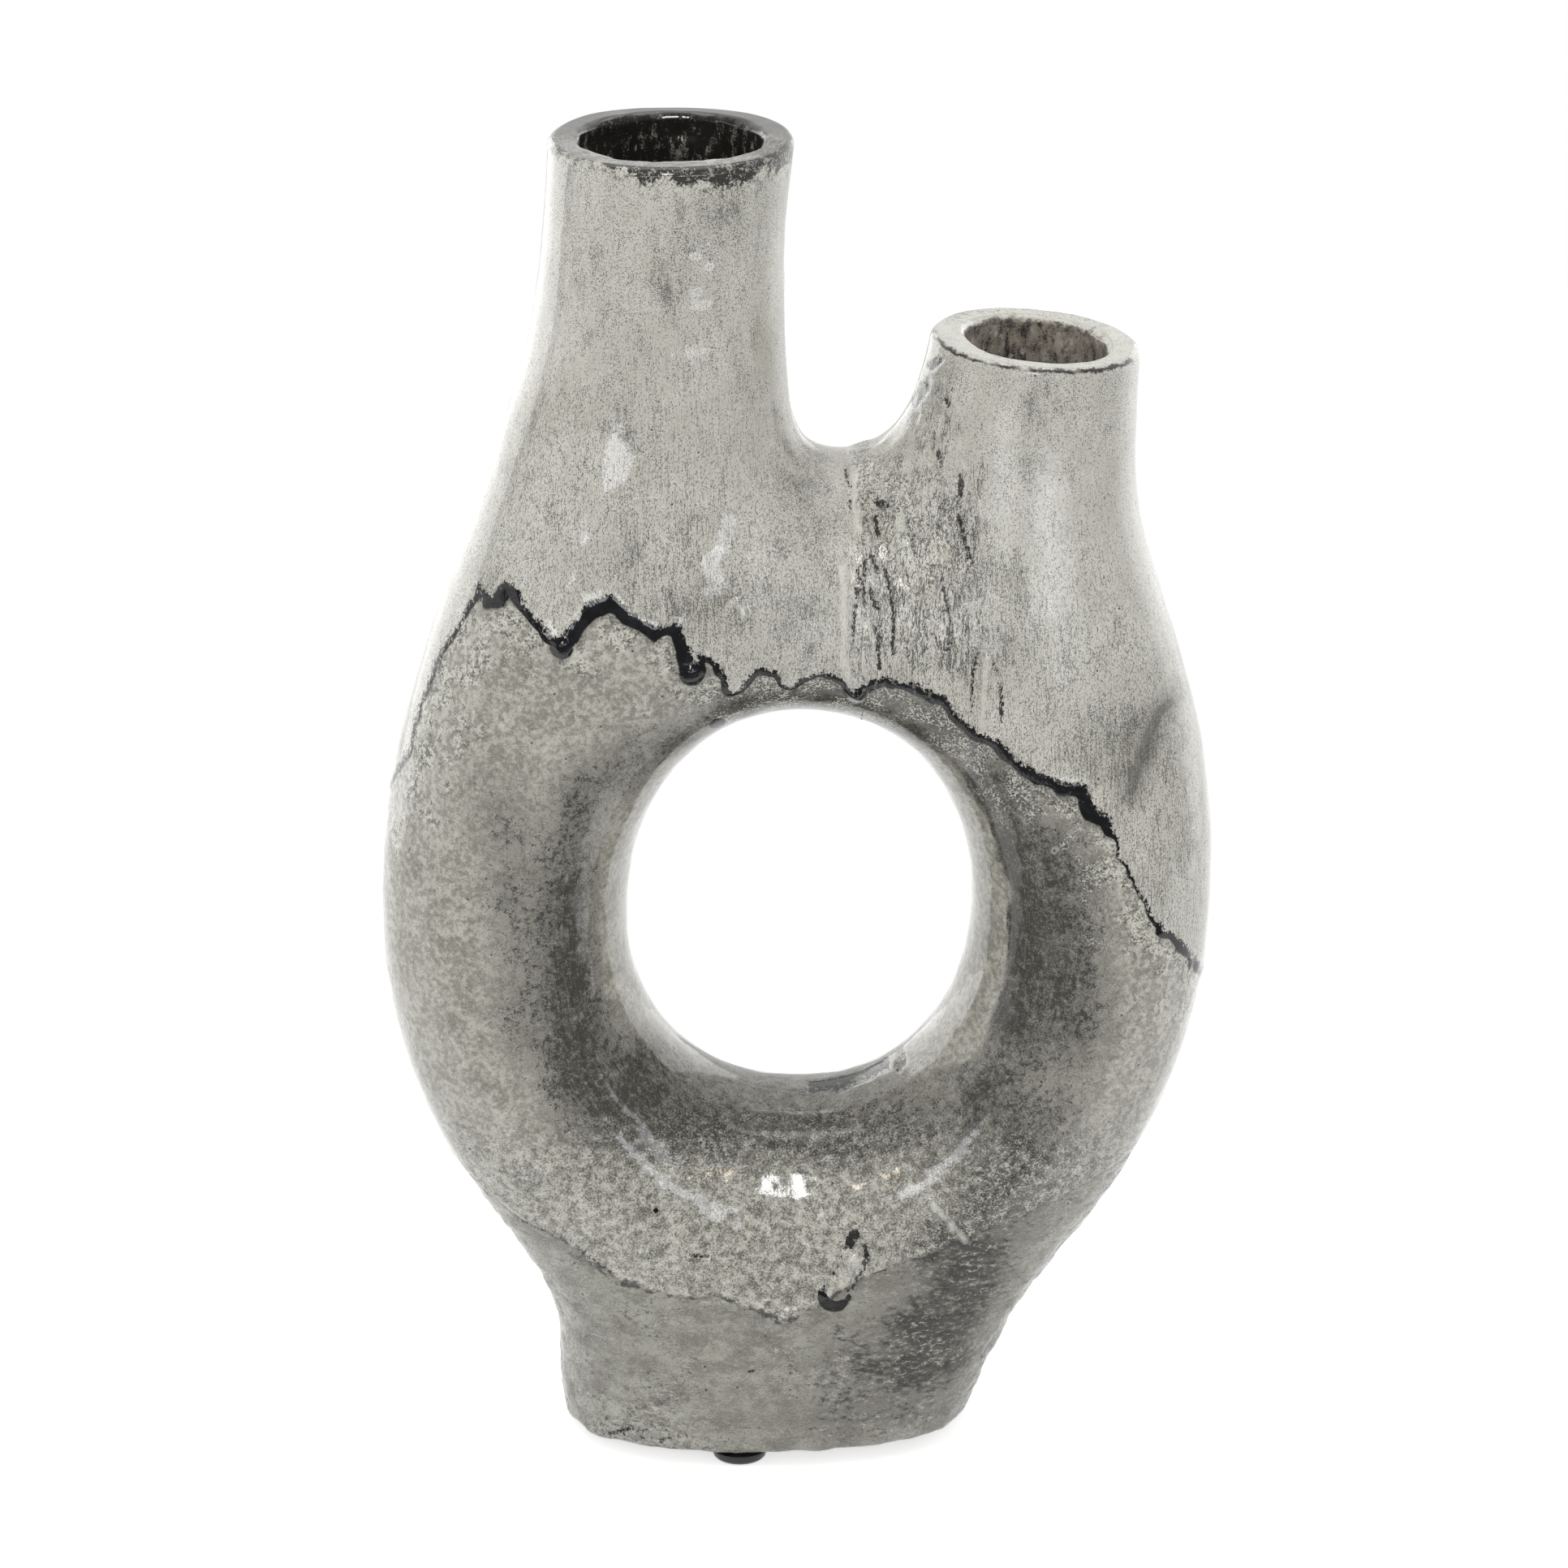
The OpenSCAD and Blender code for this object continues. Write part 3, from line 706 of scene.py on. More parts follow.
@dataclass
class Relief:
    """How far the dressed skin stands off the closed form, in mm."""

    form: VaseForm
    glaze: GlazeMap
    settle: float = 0.7
    hand: float = 0.30
    knead: float = 0.15
    coat: float = 0.35
    bead: float = 0.50
    hammer: float = 0.035
    bowl: float = 0.22
    wrinkle: float = 0.34
    crack: float = 0.35
    ridge: float = 0.5
    valley: float = 3.2
    flatten: float = 0.982

    def __call__(self, p: Array) -> Array:
        """Height of the relief at points on the skin.

        Args:
            p: (N, 3) points in mm.

        Returns:
            (N,) heights in mm, negative inward.
        """
        g = self.glaze
        above, width = g.upper(p)
        low, _ = g.low(p)
        clay = self.hand * lumps(p, 52.0, 1) + self.knead * lumps(p, 16.0, 2) + 0.05 * lumps(p, 6.5, 3)
        on = soft_step(above, 0.35)
        ridge = np.exp(-((above / (0.55 + width)) ** 2)) * np.minimum(width, 2.0) / 1.8
        fibres = on * 0.010 * lumps(p, (1.7, 1.7, 14.0), 4)
        knobs = 0.12 * np.exp(-(((p[:, 0] + 17) / 16) ** 2) - ((p[:, 2] - 352) / 13) ** 2) * lumps(p, 3.4, 63)
        mid = (1 - on) * fade(low, -2, 4)
        hammered = mid * (self.hammer * lumps(p, 5.0, 5) + 0.016 * lumps(p, 2.4, 6))
        dents = self.bowl * lumps(p, 6.5, 14) + 0.08 * lumps(p, 3.0, 15)
        hammered += mid * fade(-p[:, 2], -82, -68) * dents
        waves = self.wrinkle * (lumps(p, (7.0, 7.0, 3.8), 7) + 0.5 * lumps(p, (2.8, 2.8, 1.9), 8))
        foot = (1 - fade(low, -2, 4)) * waves
        seam = g.seam(p)
        pulled = g.cracks(p)
        flank = pulled * fade(p[:, 2], 288, 300)
        rough = seam * (0.35 + 0.4 * lumps(p, (3.2, 3.2, 9.0), 9))
        rough += pulled * 0.12 * lumps(p, (3.4, 3.4, 12.0), 10)
        rough += flank * 0.35 * lumps(p, 3.4, 16)
        crack = -self.crack * np.clip(g.stroke(p, "crack") / 0.45 + 1, 0, 1)
        raised = self.ridge * fade(g.stroke(p, "ridge"), -1.4, 0.6)
        valley = g.valley(p) * (self.valley + 0.32 * lumps(p, 7.0, 18) + 0.13 * lumps(p, 3.2, 19))
        stem, along = g.drip(p)
        run = stem * (0.5 + 1.1 * along)
        hem = np.exp(-(((low - 1.2) / 1.6) ** 2)) * (p[:, 0] < 14)
        low_edge = 0.35 * soft_step(low, 0.5) + hem * (0.3 + 0.2 * lumps(p, 3.0, 17))
        swell = g.beads(p)
        return (
            -self.settle
            + clay
            + self.coat * on
            + self.bead * ridge
            + fibres
            + knobs
            - valley
            + hammered
            + foot
            + rough
            + crack
            + raised
            + low_edge
            + np.maximum(swell, run)
        )


# Skins


@dataclass
class Skin:
    """A grid of points with normals, made into one dressed mesh.

    points: (R, C, 3) in mm on the closed form, each row a closed loop; normals: (R, C, 3) outward;
    open_cells: (R - 1, C) mask of cells left out; lip: mm along the section from the outer corner
    of the rim, negative down the outside and positive over the rim and down inside; flip: turns
    the faces over.
    """

    points: Array
    normals: Array
    open_cells: Array | None = None
    lip: Array | float = OUTSIDE
    flip: bool = False


@dataclass
class Builder:
    """Turns skins into meshes with relief, attributes and exact normals.

    probe: how far apart the relief is read for its slope; spare and ease: how far beyond half the
    depth a skin may swell, and how softly it stops there. All in mm.
    """

    form: VaseForm
    glaze: GlazeMap
    relief: Relief
    probe: float = 0.35
    spare: float = 0.9
    ease: float = 0.3

    def dress(self, skin: Skin) -> tuple[Array, Array]:
        """Pushes a skin's points out by the relief and turns its normals to match.

        Args:
            skin: the bare skin.

        Returns:
            (N, 3) points and (N, 3) unit normals.
        """
        p, n = skin.points.reshape(-1, 3), skin.normals.reshape(-1, 3)
        lip = np.broadcast_to(skin.lip, skin.points.shape[:2]).reshape(-1)
        inner = fade(lip, self.form.wall - 4.5, self.form.wall + 1.5)

        def height(q: Array) -> Array:
            """Relief of the glazed side, and of the bare clay inside."""
            bare = 0.8 * lumps(q, 22.0, 51) + 0.55 * lumps(q, 8.0, 52) + 0.16 * lumps(q, 3.2, 53)
            return self.relief(q) * (1 - inner) + bare * inner if inner.any() else self.relief(q)

        side = np.where(np.abs(n[:, 2:]) < 0.9, [[0.0, 0.0, 1.0]], [[1.0, 0.0, 0.0]])
        t1 = np.cross(n, side)
        t1 /= np.linalg.norm(t1, axis=1, keepdims=True)
        t2 = np.cross(n, t1)
        h = self.probe
        here = height(p)
        slope1 = (height(p + h * t1) - height(p - h * t1)) / (2 * h)
        slope2 = (height(p + h * t2) - height(p - h * t2)) / (2 * h)
        turned = n - slope1[:, None] * t1 - slope2[:, None] * t2
        moved = p * [1, self.relief.flatten, 1] + here[:, None] * n
        reach, soft = self.form.depth / 2 + self.spare, self.ease
        over = np.abs(moved[:, 1]) - reach
        eased = np.where(over > -4, -soft * np.log1p(np.exp(-over / soft)), over)
        moved[:, 1] = np.sign(moved[:, 1]) * (reach + eased)
        side_limit = self.form.half_w - INSET
        moved[:, 2] = np.minimum(moved[:, 2], self.form.height - INSET)
        moved[:, 0] = np.clip(moved[:, 0], -side_limit, side_limit)
        return moved, turned / np.linalg.norm(turned, axis=1, keepdims=True)

    def build(self, name: str, skins: list[Skin], material: bpy.types.Material,
              nodes: tuple[str, ...]) -> bpy.types.Object:
        """Makes one object out of skins.

        Args:
            name: name of the object.
            skins: its skins, which keep their own vertices.
            material: finish of all of them.
            nodes: CAD nodes that the object stands for.

        Returns:
            The new object.
        """
        points, normals, bare, lip, faces = [], [], [], [], []
        start = 0
        for skin in skins:
            moved, turned = self.dress(skin)
            rows, cols = skin.points.shape[:2]
            i, j = np.meshgrid(np.arange(rows - 1), np.arange(cols), indexing="ij")
            k = (j + 1) % cols
            quad = np.stack([i * cols + j, i * cols + k, (i + 1) * cols + k, (i + 1) * cols + j], axis=2)
            if skin.open_cells is not None:
                quad = quad[~skin.open_cells]
            quad = quad.reshape(-1, 4)
            faces.append((quad[:, ::-1] if skin.flip else quad) + start)
            points.append(moved)
            normals.append(turned)
            bare.append(skin.points.reshape(-1, 3))
            lip.append(np.broadcast_to(skin.lip, (rows, cols)).reshape(-1))
            start += rows * cols
        points, normals, bare = np.concatenate(points), np.concatenate(normals), np.concatenate(bare)
        lip, faces = np.concatenate(lip), np.concatenate(faces)
        mesh = bpy.data.meshes.new(name)
        mesh.vertices.add(len(points))
        mesh.vertices.foreach_set("co", (points * MM).astype(np.float32).ravel())
        mesh.loops.add(faces.size)
        mesh.loops.foreach_set("vertex_index", faces.astype(np.int32).ravel())
        mesh.polygons.add(len(faces))
        mesh.polygons.foreach_set("loop_start", np.arange(0, faces.size, 4, dtype=np.int32))
        mesh.update(calc_edges=True)
        mesh.validate()
        mesh.polygons.foreach_set("use_smooth", np.ones(len(mesh.polygons), bool))
        mesh.normals_split_custom_set_from_vertices(normals.astype(np.float32))
        self.paint(mesh, bare, lip)
        mesh.materials.append(material)
        obj = bpy.data.objects.new(name, mesh)
        bpy.context.scene.collection.objects.link(obj)
        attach(obj, "root")
        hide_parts(*nodes)
        log.info("%s: %d vertices, %d faces", name, len(points), len(faces))
        return obj

    def paint(self, mesh: bpy.types.Mesh, p: Array, lip: Array) -> None:
        """Stores the glaze map on the vertices, for the finish to read."""
        above, width = self.glaze.upper(p)
        low, low_width = self.glaze.low(p)
        values = {
            "above": above,
            "bead": width,
            "low": low,
            "low_bead": low_width,
            "dark": self.glaze.dark(p),
            "pool": self.glaze.pool(p),
            "cloud": self.glaze.cloud(p),
            "seam": self.glaze.seam(p),
            "cracked": self.glaze.cracks(p),
            "crack": self.glaze.stroke(p, "crack"),
            "ridge": self.glaze.stroke(p, "ridge"),
            "band": self.glaze.stroke(p, "band"),
            "lip": lip,
            "short": fade(p[:, 0], 24, 34),
        }
        for name, value in values.items():
            mesh.attributes.new(name, "FLOAT", "POINT").data.foreach_set("value", value.astype(np.float32))
        around = mesh.attributes.new("around", "FLOAT_VECTOR", "POINT")
        axis = np.where(p[:, 0] > 24, self.form.short_x, -self.form.short_x / 2)
        turn = np.arctan2(p[:, 1], p[:, 0] - axis)
        rim = np.stack([lip, 40 * np.cos(turn), 40 * np.sin(turn)], axis=1)
        places = np.where(lip[:, None] > RIM_REACH, rim, self.glaze.around(p))
        around.data.foreach_set("vector", places.astype(np.float32).ravel())


@dataclass
class RingHalf:
    """One half of the hollow ring, from the seam over its neck joint and down to the foot."""

    form: VaseForm
    side: Side
    slot_rows: int = 26
    neck_rows: int = 96
    flank_rows: int = 240
    foot_rows: int = 64
    side_cols: int = 92
    end_cols: int = 40
    end_angle: float = math.radians(35)
    ease_rows: float = 12.0

    def rows(self, inset: float) -> dict[str, Array]:
        """Works out the rows of the grid.

        Args:
            inset: how deep the skin lies, in mm.

        Returns:
            Arrays of pivot, direction, inner and outer distance, end angle and whether the
            outer end lies open on a joint.
        """
        f, side = self.form, self.side.value
        left, right = f.level_ends(-f.short_x / 2 if side < 0 else f.short_x, f.neck_z, 0.0, inset)
        near_x, far_x = (right, left) if side < 0 else (left, right)
        feet = f.level_ends(f.foot_x, f.waist_z, 0.0, inset)
        tip_x = feet[0] if side < 0 else feet[1]
        mid_px = (f.seam_x + f.hole_x) / 2

        def aim(px: float, tx: float, tz: float) -> float:
            """Angle of the ray from a pivot at px to a place."""
            return math.atan2(tz - f.hole_z, tx - px)

        start, flank = aim(mid_px, near_x, f.neck_z), aim(f.hole_x, far_x, f.neck_z)
        tip = aim(f.hole_x, tip_x, f.waist_z)
        if side < 0 and tip < 0:
            tip += 2 * math.pi
        # seam to neck joint, and neck joint to foot joint: rows at even angles
        slot_i, flank_i = np.arange(self.slot_rows), np.arange(1, self.flank_rows)
        s, u = slot_i / self.slot_rows, flank_i / self.flank_rows
        free_px = np.concatenate([f.seam_x + (mid_px - f.seam_x) * s, np.full(len(u), f.hole_x)])
        free_a = np.concatenate([math.pi / 2 + (start - math.pi / 2) * s, flank + (tip - flank) * u])
        from_joint = np.concatenate([self.slot_rows - slot_i, np.minimum(flank_i, self.flank_rows - flank_i)])
        free_end = self.end_angle * np.minimum(1, from_joint / self.ease_rows)
        ux, uz = np.cos(free_a), np.sin(free_a)
        core = f.hole_h / 2 + inset + f.wall
        far = core + f.run(free_px + core * ux, f.hole_z + core * uz, ux, uz, inset)
        # over the neck joint and over the foot joint: rows that end on the joint's plane
        neck_i, foot_i = np.arange(self.neck_rows + 1), np.arange(self.foot_rows + 1)
        k, m = neck_i / self.neck_rows, foot_i / self.foot_rows
        joint_px = np.concatenate([mid_px + (f.hole_x - mid_px) * k, f.hole_x + (f.foot_x - f.hole_x) * m])
        joint_x = np.concatenate([near_x + (far_x - near_x) * (1 - np.cos(np.pi * k)) / 2,
                                  f.foot_x + (tip_x - f.foot_x) * np.cos(np.pi / 2 * m)])
        joint_z = np.concatenate([np.full(len(k), f.neck_z), np.full(len(m), f.waist_z)])
        reach = np.hypot(joint_x - joint_px, joint_z - f.hole_z)
        jx, jz = (joint_x - joint_px) / reach, (joint_z - f.hole_z) / reach
        from_free = np.concatenate([np.minimum(neck_i, self.neck_rows - neck_i), foot_i])
        joint_end = 2 * self.end_angle * np.minimum(1, from_free / self.ease_rows)
        n0, n1 = self.slot_rows, len(k)

        def order(free: Array, joint: Array) -> Array:
            """Rows from the seam down: free, over the neck joint, free, over the foot joint."""
            return np.concatenate([free[:n0], joint[:n1], free[n0:], joint[n1:]])

        px, rx, rz = order(free_px, joint_px), order(ux, jx), order(uz, jz)
        near = core - f.run(px + core * rx, f.hole_z + core * rz, -rx, -rz, inset)
        is_joint = order(np.zeros(len(free_px), bool), np.ones(len(joint_px), bool))
        is_joint[np.cumsum([self.slot_rows, self.neck_rows, self.flank_rows])] = False
        return {"px": px, "ux": rx, "uz": rz, "near": near, "far": order(far, reach),
                "end": order(free_end, joint_end), "open": is_joint}

    def skin(self, inset: float, inner: bool) -> Skin:
        """Grid of one skin: r = near + (far - near) * share and y = the closed form's half depth."""
        f = self.form
        r = self.rows(inset)
        cols = 2 * self.side_cols + self.end_cols
        j = np.arange(cols)[None, :]
        a = math.pi - r["end"][:, None]
        is_open = r["open"][:, None]
        k = np.where(j <= self.side_cols, j, cols - j)
        flank_share = (1 - np.cos(a * k / self.side_cols)) / np.where(is_open, 1 - np.cos(a), 2)
        end_turn = a + 2 * r["end"][:, None] * (j - self.side_cols) / self.end_cols
        end_share = np.where(is_open, 1, (1 - np.cos(end_turn)) / 2)
        at_end = (j > self.side_cols) & (j < self.side_cols + self.end_cols)
        share = np.where(at_end, end_share, flank_share)
        radius = r["near"][:, None] + (r["far"] - r["near"])[:, None] * share
        x = r["px"][:, None] + radius * r["ux"][:, None]
        z = f.hole_z + radius * r["uz"][:, None]
        back = np.where(j > self.side_cols + self.end_cols / 2, 1.0, -1.0)
        tip = (j == 0) | (~is_open & (j == self.side_cols + self.end_cols // 2))
        y = np.where(tip, 0.0, back * f.half_depth(x, z, inset))
        points = np.stack([x, y, z], axis=2)
        normals = f.normal(points.reshape(-1, 3), inset).reshape(points.shape)
        rows = len(points)
        row, col = np.meshgrid(np.arange(rows - 1), np.arange(cols), indexing="ij")
        flank_at = self.slot_rows + self.neck_rows
        foot_at = flank_at + self.flank_rows
        in_end = (col >= self.side_cols) & (col < self.side_cols + self.end_cols)
        open_cells = in_end & (((row >= self.slot_rows) & (row < flank_at)) | (row >= foot_at))
        flip = (self.side is Side.RIGHT) != inner
        lip = INSIDE if inner else OUTSIDE
        return Skin(points, -normals if inner else normals, open_cells, lip, flip)


@dataclass
class Stack:
    """Level loops stacked along a section of the wall: a neck, the collar or the slab."""

    form: VaseForm
    at: float
    half_loop: int

    def skin(self, level: Array, tilt: Array, inset: Array, angle: Array, lip: Array | float = OUTSIDE,
             flip: bool = False) -> Skin:
        """Grid of loops; loop i is cut at level[i] and its normals rise by angle[i].

        Args:
            level: height of each loop at the middle, in mm.
            tilt: fall of each loop per mm of x.
            inset: depth of each loop under the closed form.
            angle: 0 looks outward, 90 degrees up, 180 inward and -90 down.
            lip: place of each loop along the section of the rim.
            flip: turns the faces over.

        Returns:
            The bare skin.
        """
        f, n = self.form, self.half_loop
        left, right = f.level_ends(self.at, level, tilt, inset)
        k = np.arange(2 * n)[None, :]
        x = ((left + right) / 2)[:, None] + ((right - left) / 2)[:, None] * np.cos(math.pi * k / n)
        z = level[:, None] - (x - self.at) * tilt[:, None]
        side = np.where(k % n == 0, 0.0, np.where(k < n, -1.0, 1.0))
        y = side * f.half_depth(x, z, inset[:, None])
        points = np.stack([x, y, z], axis=2)
        out = f.normal(points.reshape(-1, 3), np.repeat(inset, 2 * n)).reshape(points.shape)
        up = np.stack([tilt / np.hypot(1, tilt), 0 * tilt, 1 / np.hypot(1, tilt)], axis=1)[:, None, :]
        normals = out * np.cos(angle)[:, None, None] + up * np.sin(angle)[:, None, None]
        normals /= np.linalg.norm(normals, axis=2, keepdims=True)
        return Skin(points, normals, None, np.reshape(lip, (-1, 1)), flip)


@dataclass
class Neck:
    """A neck's outer wall, worn lip and inner wall, as one section turned round its axis."""

    form: VaseForm
    at: float
    top: float
    tilt: float
    half_loop: int = 96
    spacing: float = 0.9

    def skins(self) -> list[Skin]:
        """One closed section from the joint up over the lip and down inside."""
        f = self.form
        n = max(int((self.top - f.neck_z) / self.spacing), 8)
        arc = np.linspace(0, math.pi / 2, CORNER_STEPS)
        flat = np.linspace(0, 1, 8)[1:-1]
        r, w = f.rim_r, f.wall
        outer = np.arange(n) / n
        share = np.concatenate([outer, np.ones(len(arc) * 2 + len(flat)), outer[::-1]])
        sunk, worn = r * (1 - np.sin(arc)), r * (1 - np.cos(arc))
        drop = np.concatenate([np.full(n, r), sunk, 0 * flat, sunk[::-1], np.full(n, r)])
        inset = np.concatenate([np.zeros(n), worn, r + (w - 2 * r) * flat, w - worn[::-1], np.full(n, w)])
        up = np.full(len(flat), math.pi / 2)
        angle = np.concatenate([np.zeros(n), arc, up, math.pi - arc[::-1], np.full(n, math.pi)])
        level = f.neck_z + (self.top - drop - f.neck_z) * share
        below = self.top - level
        lip = np.where(angle < 1.5, -below, np.where(angle < 1.7, inset, w + below))
        return [Stack(f, self.at, self.half_loop).skin(level, self.tilt * share, inset, angle, lip, True)]


@dataclass
class Foot:
    """Collar and base slab, from the waist down to the rounded lower edge and the flat underside."""

    form: VaseForm
    half_loop: int = 128
    spacing: float = 0.8

    def skins(self) -> list[Skin]:
        """Outer wall with its lower edge and underside, then the chamber's wall and floor."""
        f = self.form
        stack = Stack(f, f.foot_x, self.half_loop)
        arc = np.linspace(0, math.pi / 2, CORNER_STEPS)
        low = f.pad_h + f.slab_r
        wall = np.linspace(f.waist_z, low, int((f.waist_z - low) / self.spacing))
        under = np.linspace(f.slab_r, 30.0, 40)[1:]
        level = np.concatenate([wall[:-1], low - f.slab_r * np.sin(arc), np.full(len(under), f.pad_h)])
        inset = np.concatenate([0 * wall[:-1], f.slab_r * (1 - np.cos(arc)), under])
        angle = np.concatenate([0 * wall[:-1], -arc, np.full(len(under), -math.pi / 2)])
        outer = stack.skin(level, 0 * level, inset, angle)
        chamber = np.linspace(f.waist_z, f.collar_z, 10)
        floor = np.linspace(f.wall, 30.0, 12)[1:]
        level = np.concatenate([chamber, np.full(len(floor), f.collar_z)])
        inset = np.concatenate([np.full(len(chamber), f.wall), floor])
        angle = np.concatenate([np.full(len(chamber), math.pi), np.full(len(floor), math.pi / 2)])
        inner = stack.skin(level, 0 * level, inset, angle, INSIDE, True)
        return [outer, inner]


# Finishes

# Settings of nodes: a smooth step from 0 to 1, a mix of colours, and three operations on numbers
EASED = {"interpolation_type": "SMOOTHSTEP"}
COLOURS = {"data_type": "RGBA"}
SUBTRACT = {"operation": "SUBTRACT"}
LARGER = {"operation": "MAXIMUM"}
UNSIGNED = {"operation": "ABSOLUTE"}


def linear(code: str) -> tuple[float, float, float, float]:
    """Turns an sRGB hex colour into linear light."""
    parts = [int(code[i : i + 2], 16) / 255 for i in (1, 3, 5)]
    r, g, b = (c / 12.92 if c <= 0.04045 else ((c + 0.055) / 1.055) ** 2.4 for c in parts)
    return r, g, b, 1.0


class Shader:
    """A material's or world's node tree, with one way to add a node."""

    def __init__(self, name: str, world: bpy.types.World | None = None) -> None:
        """Starts an empty material of that name, or an empty tree on a world."""
        self.material = None if world else bpy.data.materials.new(name)
        owner = world or self.material
        owner.use_nodes = True
        self.tree = owner.node_tree
        self.tree.nodes.clear()

    def add(self, kind: str, settings: dict[str, object], *inputs: object, **named: object) -> Socket | None:
        """Adds a node with its settings and links.

        Args:
            kind: its type name without ShaderNode.
            settings: properties of the node.
            inputs: what its sockets in use read, in their order: sockets to link, or values.
            named: what sockets read, by name with _ for spaces.

        Returns:
            The node's first output in use, if it has one.
        """
        node = self.tree.nodes.new("ShaderNode" + kind)
        for key, value in settings.items():
            setattr(node, key, value)
        pairs = list(zip([socket for socket in node.inputs if socket.enabled], inputs))
        pairs += [(node.inputs[key.replace("_", " ")], value) for key, value in named.items()]
        for socket, value in pairs:
            if isinstance(value, Socket):
                self.tree.links.new(value, socket)
            else:
                socket.default_value = value
        return next((socket for socket in node.outputs if socket.enabled), None)

    def over(self, tones: Socket, colour: str, *amounts: Value) -> Socket:
        """Lays an sRGB colour over tones, as strongly as the product of the amounts."""
        return self.add("Mix", COLOURS, self.product(*amounts), tones, linear(colour))

    def millimetres(self) -> Socket:
        """Places on the piece in mm."""
        at = self.add("TexCoord", {}).node.outputs["Object"]
        return self.add("VectorMath", {"operation": "SCALE"}, at, 1 / MM)

    def glazed(self, name: str, output: str = "Fac") -> Socket:
        """A value of the glaze map on the vertices, or a place with the output Vector."""
        return self.add("Attribute", {"attribute_name": name}).node.outputs[output]

    def counted(self, at: Socket, size: float | tuple[float, float, float], shift: float) -> Socket:
        """Places counted in features of size mm, one value or one for each axis."""
        sizes = (size,) * 3 if isinstance(size, (int, float)) else size
        scale = tuple(1 / v for v in sizes)
        return self.add("Mapping", {}, Vector=at, Scale=scale, Location=(shift,) * 3)

    def mottle(self, at: Socket, size: float | tuple[float, float, float], detail: float = 2.0,
               rough: float = 0.5, shift: float = 0.0, twist: float = 0.0) -> Socket:
        """Mottle around 0 whose features are size mm across, for places in mm."""
        cloudy = self.add("TexNoise", {}, Vector=self.counted(at, size, shift), Scale=1.0, Detail=detail,
                          Roughness=rough, Distortion=twist)
        return self.add("Math", SUBTRACT, cloudy, 0.5)

    def bend(self, at: Socket, size: float, reach: float, shift: float = 0.0) -> Socket:
        """Places pushed about by up to reach mm, so that what is drawn on them isn't regular."""
        push = self.add("TexNoise", {}, Vector=self.counted(at, size, shift), Scale=1.0, Detail=2.0)
        push = self.add("VectorMath", SUBTRACT, push.node.outputs["Color"], (0.5, 0.5, 0.5))
        push = self.add("VectorMath", {"operation": "SCALE"}, push, 2 * reach)
        return self.add("VectorMath", {"operation": "ADD"}, at, push)

    def net(self, at: Socket, size: float | tuple[float, float, float], shift: float = 0.0) -> Socket:
        """Close net of size mm: positive in the middle of its meshes and negative on its threads."""
        off = self.add("TexVoronoi", {"feature": "F1"}, Vector=self.counted(at, size, shift), Scale=1.0,
                       Randomness=1.0)
        return self.add("Math", SUBTRACT, 0.55, off)

    def scatter(self, at: Socket, size: float, shift: float = 0.0) -> tuple[Socket, Socket]:
        """Scattered points about size mm apart: distance to the nearest in mm, and its lot from 0 to 1."""
        off = self.add("TexVoronoi", {"feature": "F1"}, Vector=self.counted(at, size, shift), Scale=1.0,
                       Randomness=1.0)
        return self.product(off, size), off.node.outputs["Color"]

    def total(self, *terms: Value | tuple[float, Value]) -> Value:
        """Sum of sockets, plain numbers and (factor, socket) pairs."""
        value = None
        for term in terms:
            part = self.product(term[1], term[0]) if isinstance(term, tuple) else term
            value = part if value is None else self.add("Math", {"operation": "ADD"}, value, part)
        return value

    def product(self, *factors: Value) -> Value:
        """Product of sockets and numbers."""
        value = factors[0]
        for factor in factors[1:]:
            value = self.add("Math", {"operation": "MULTIPLY"}, value, factor)
        return value


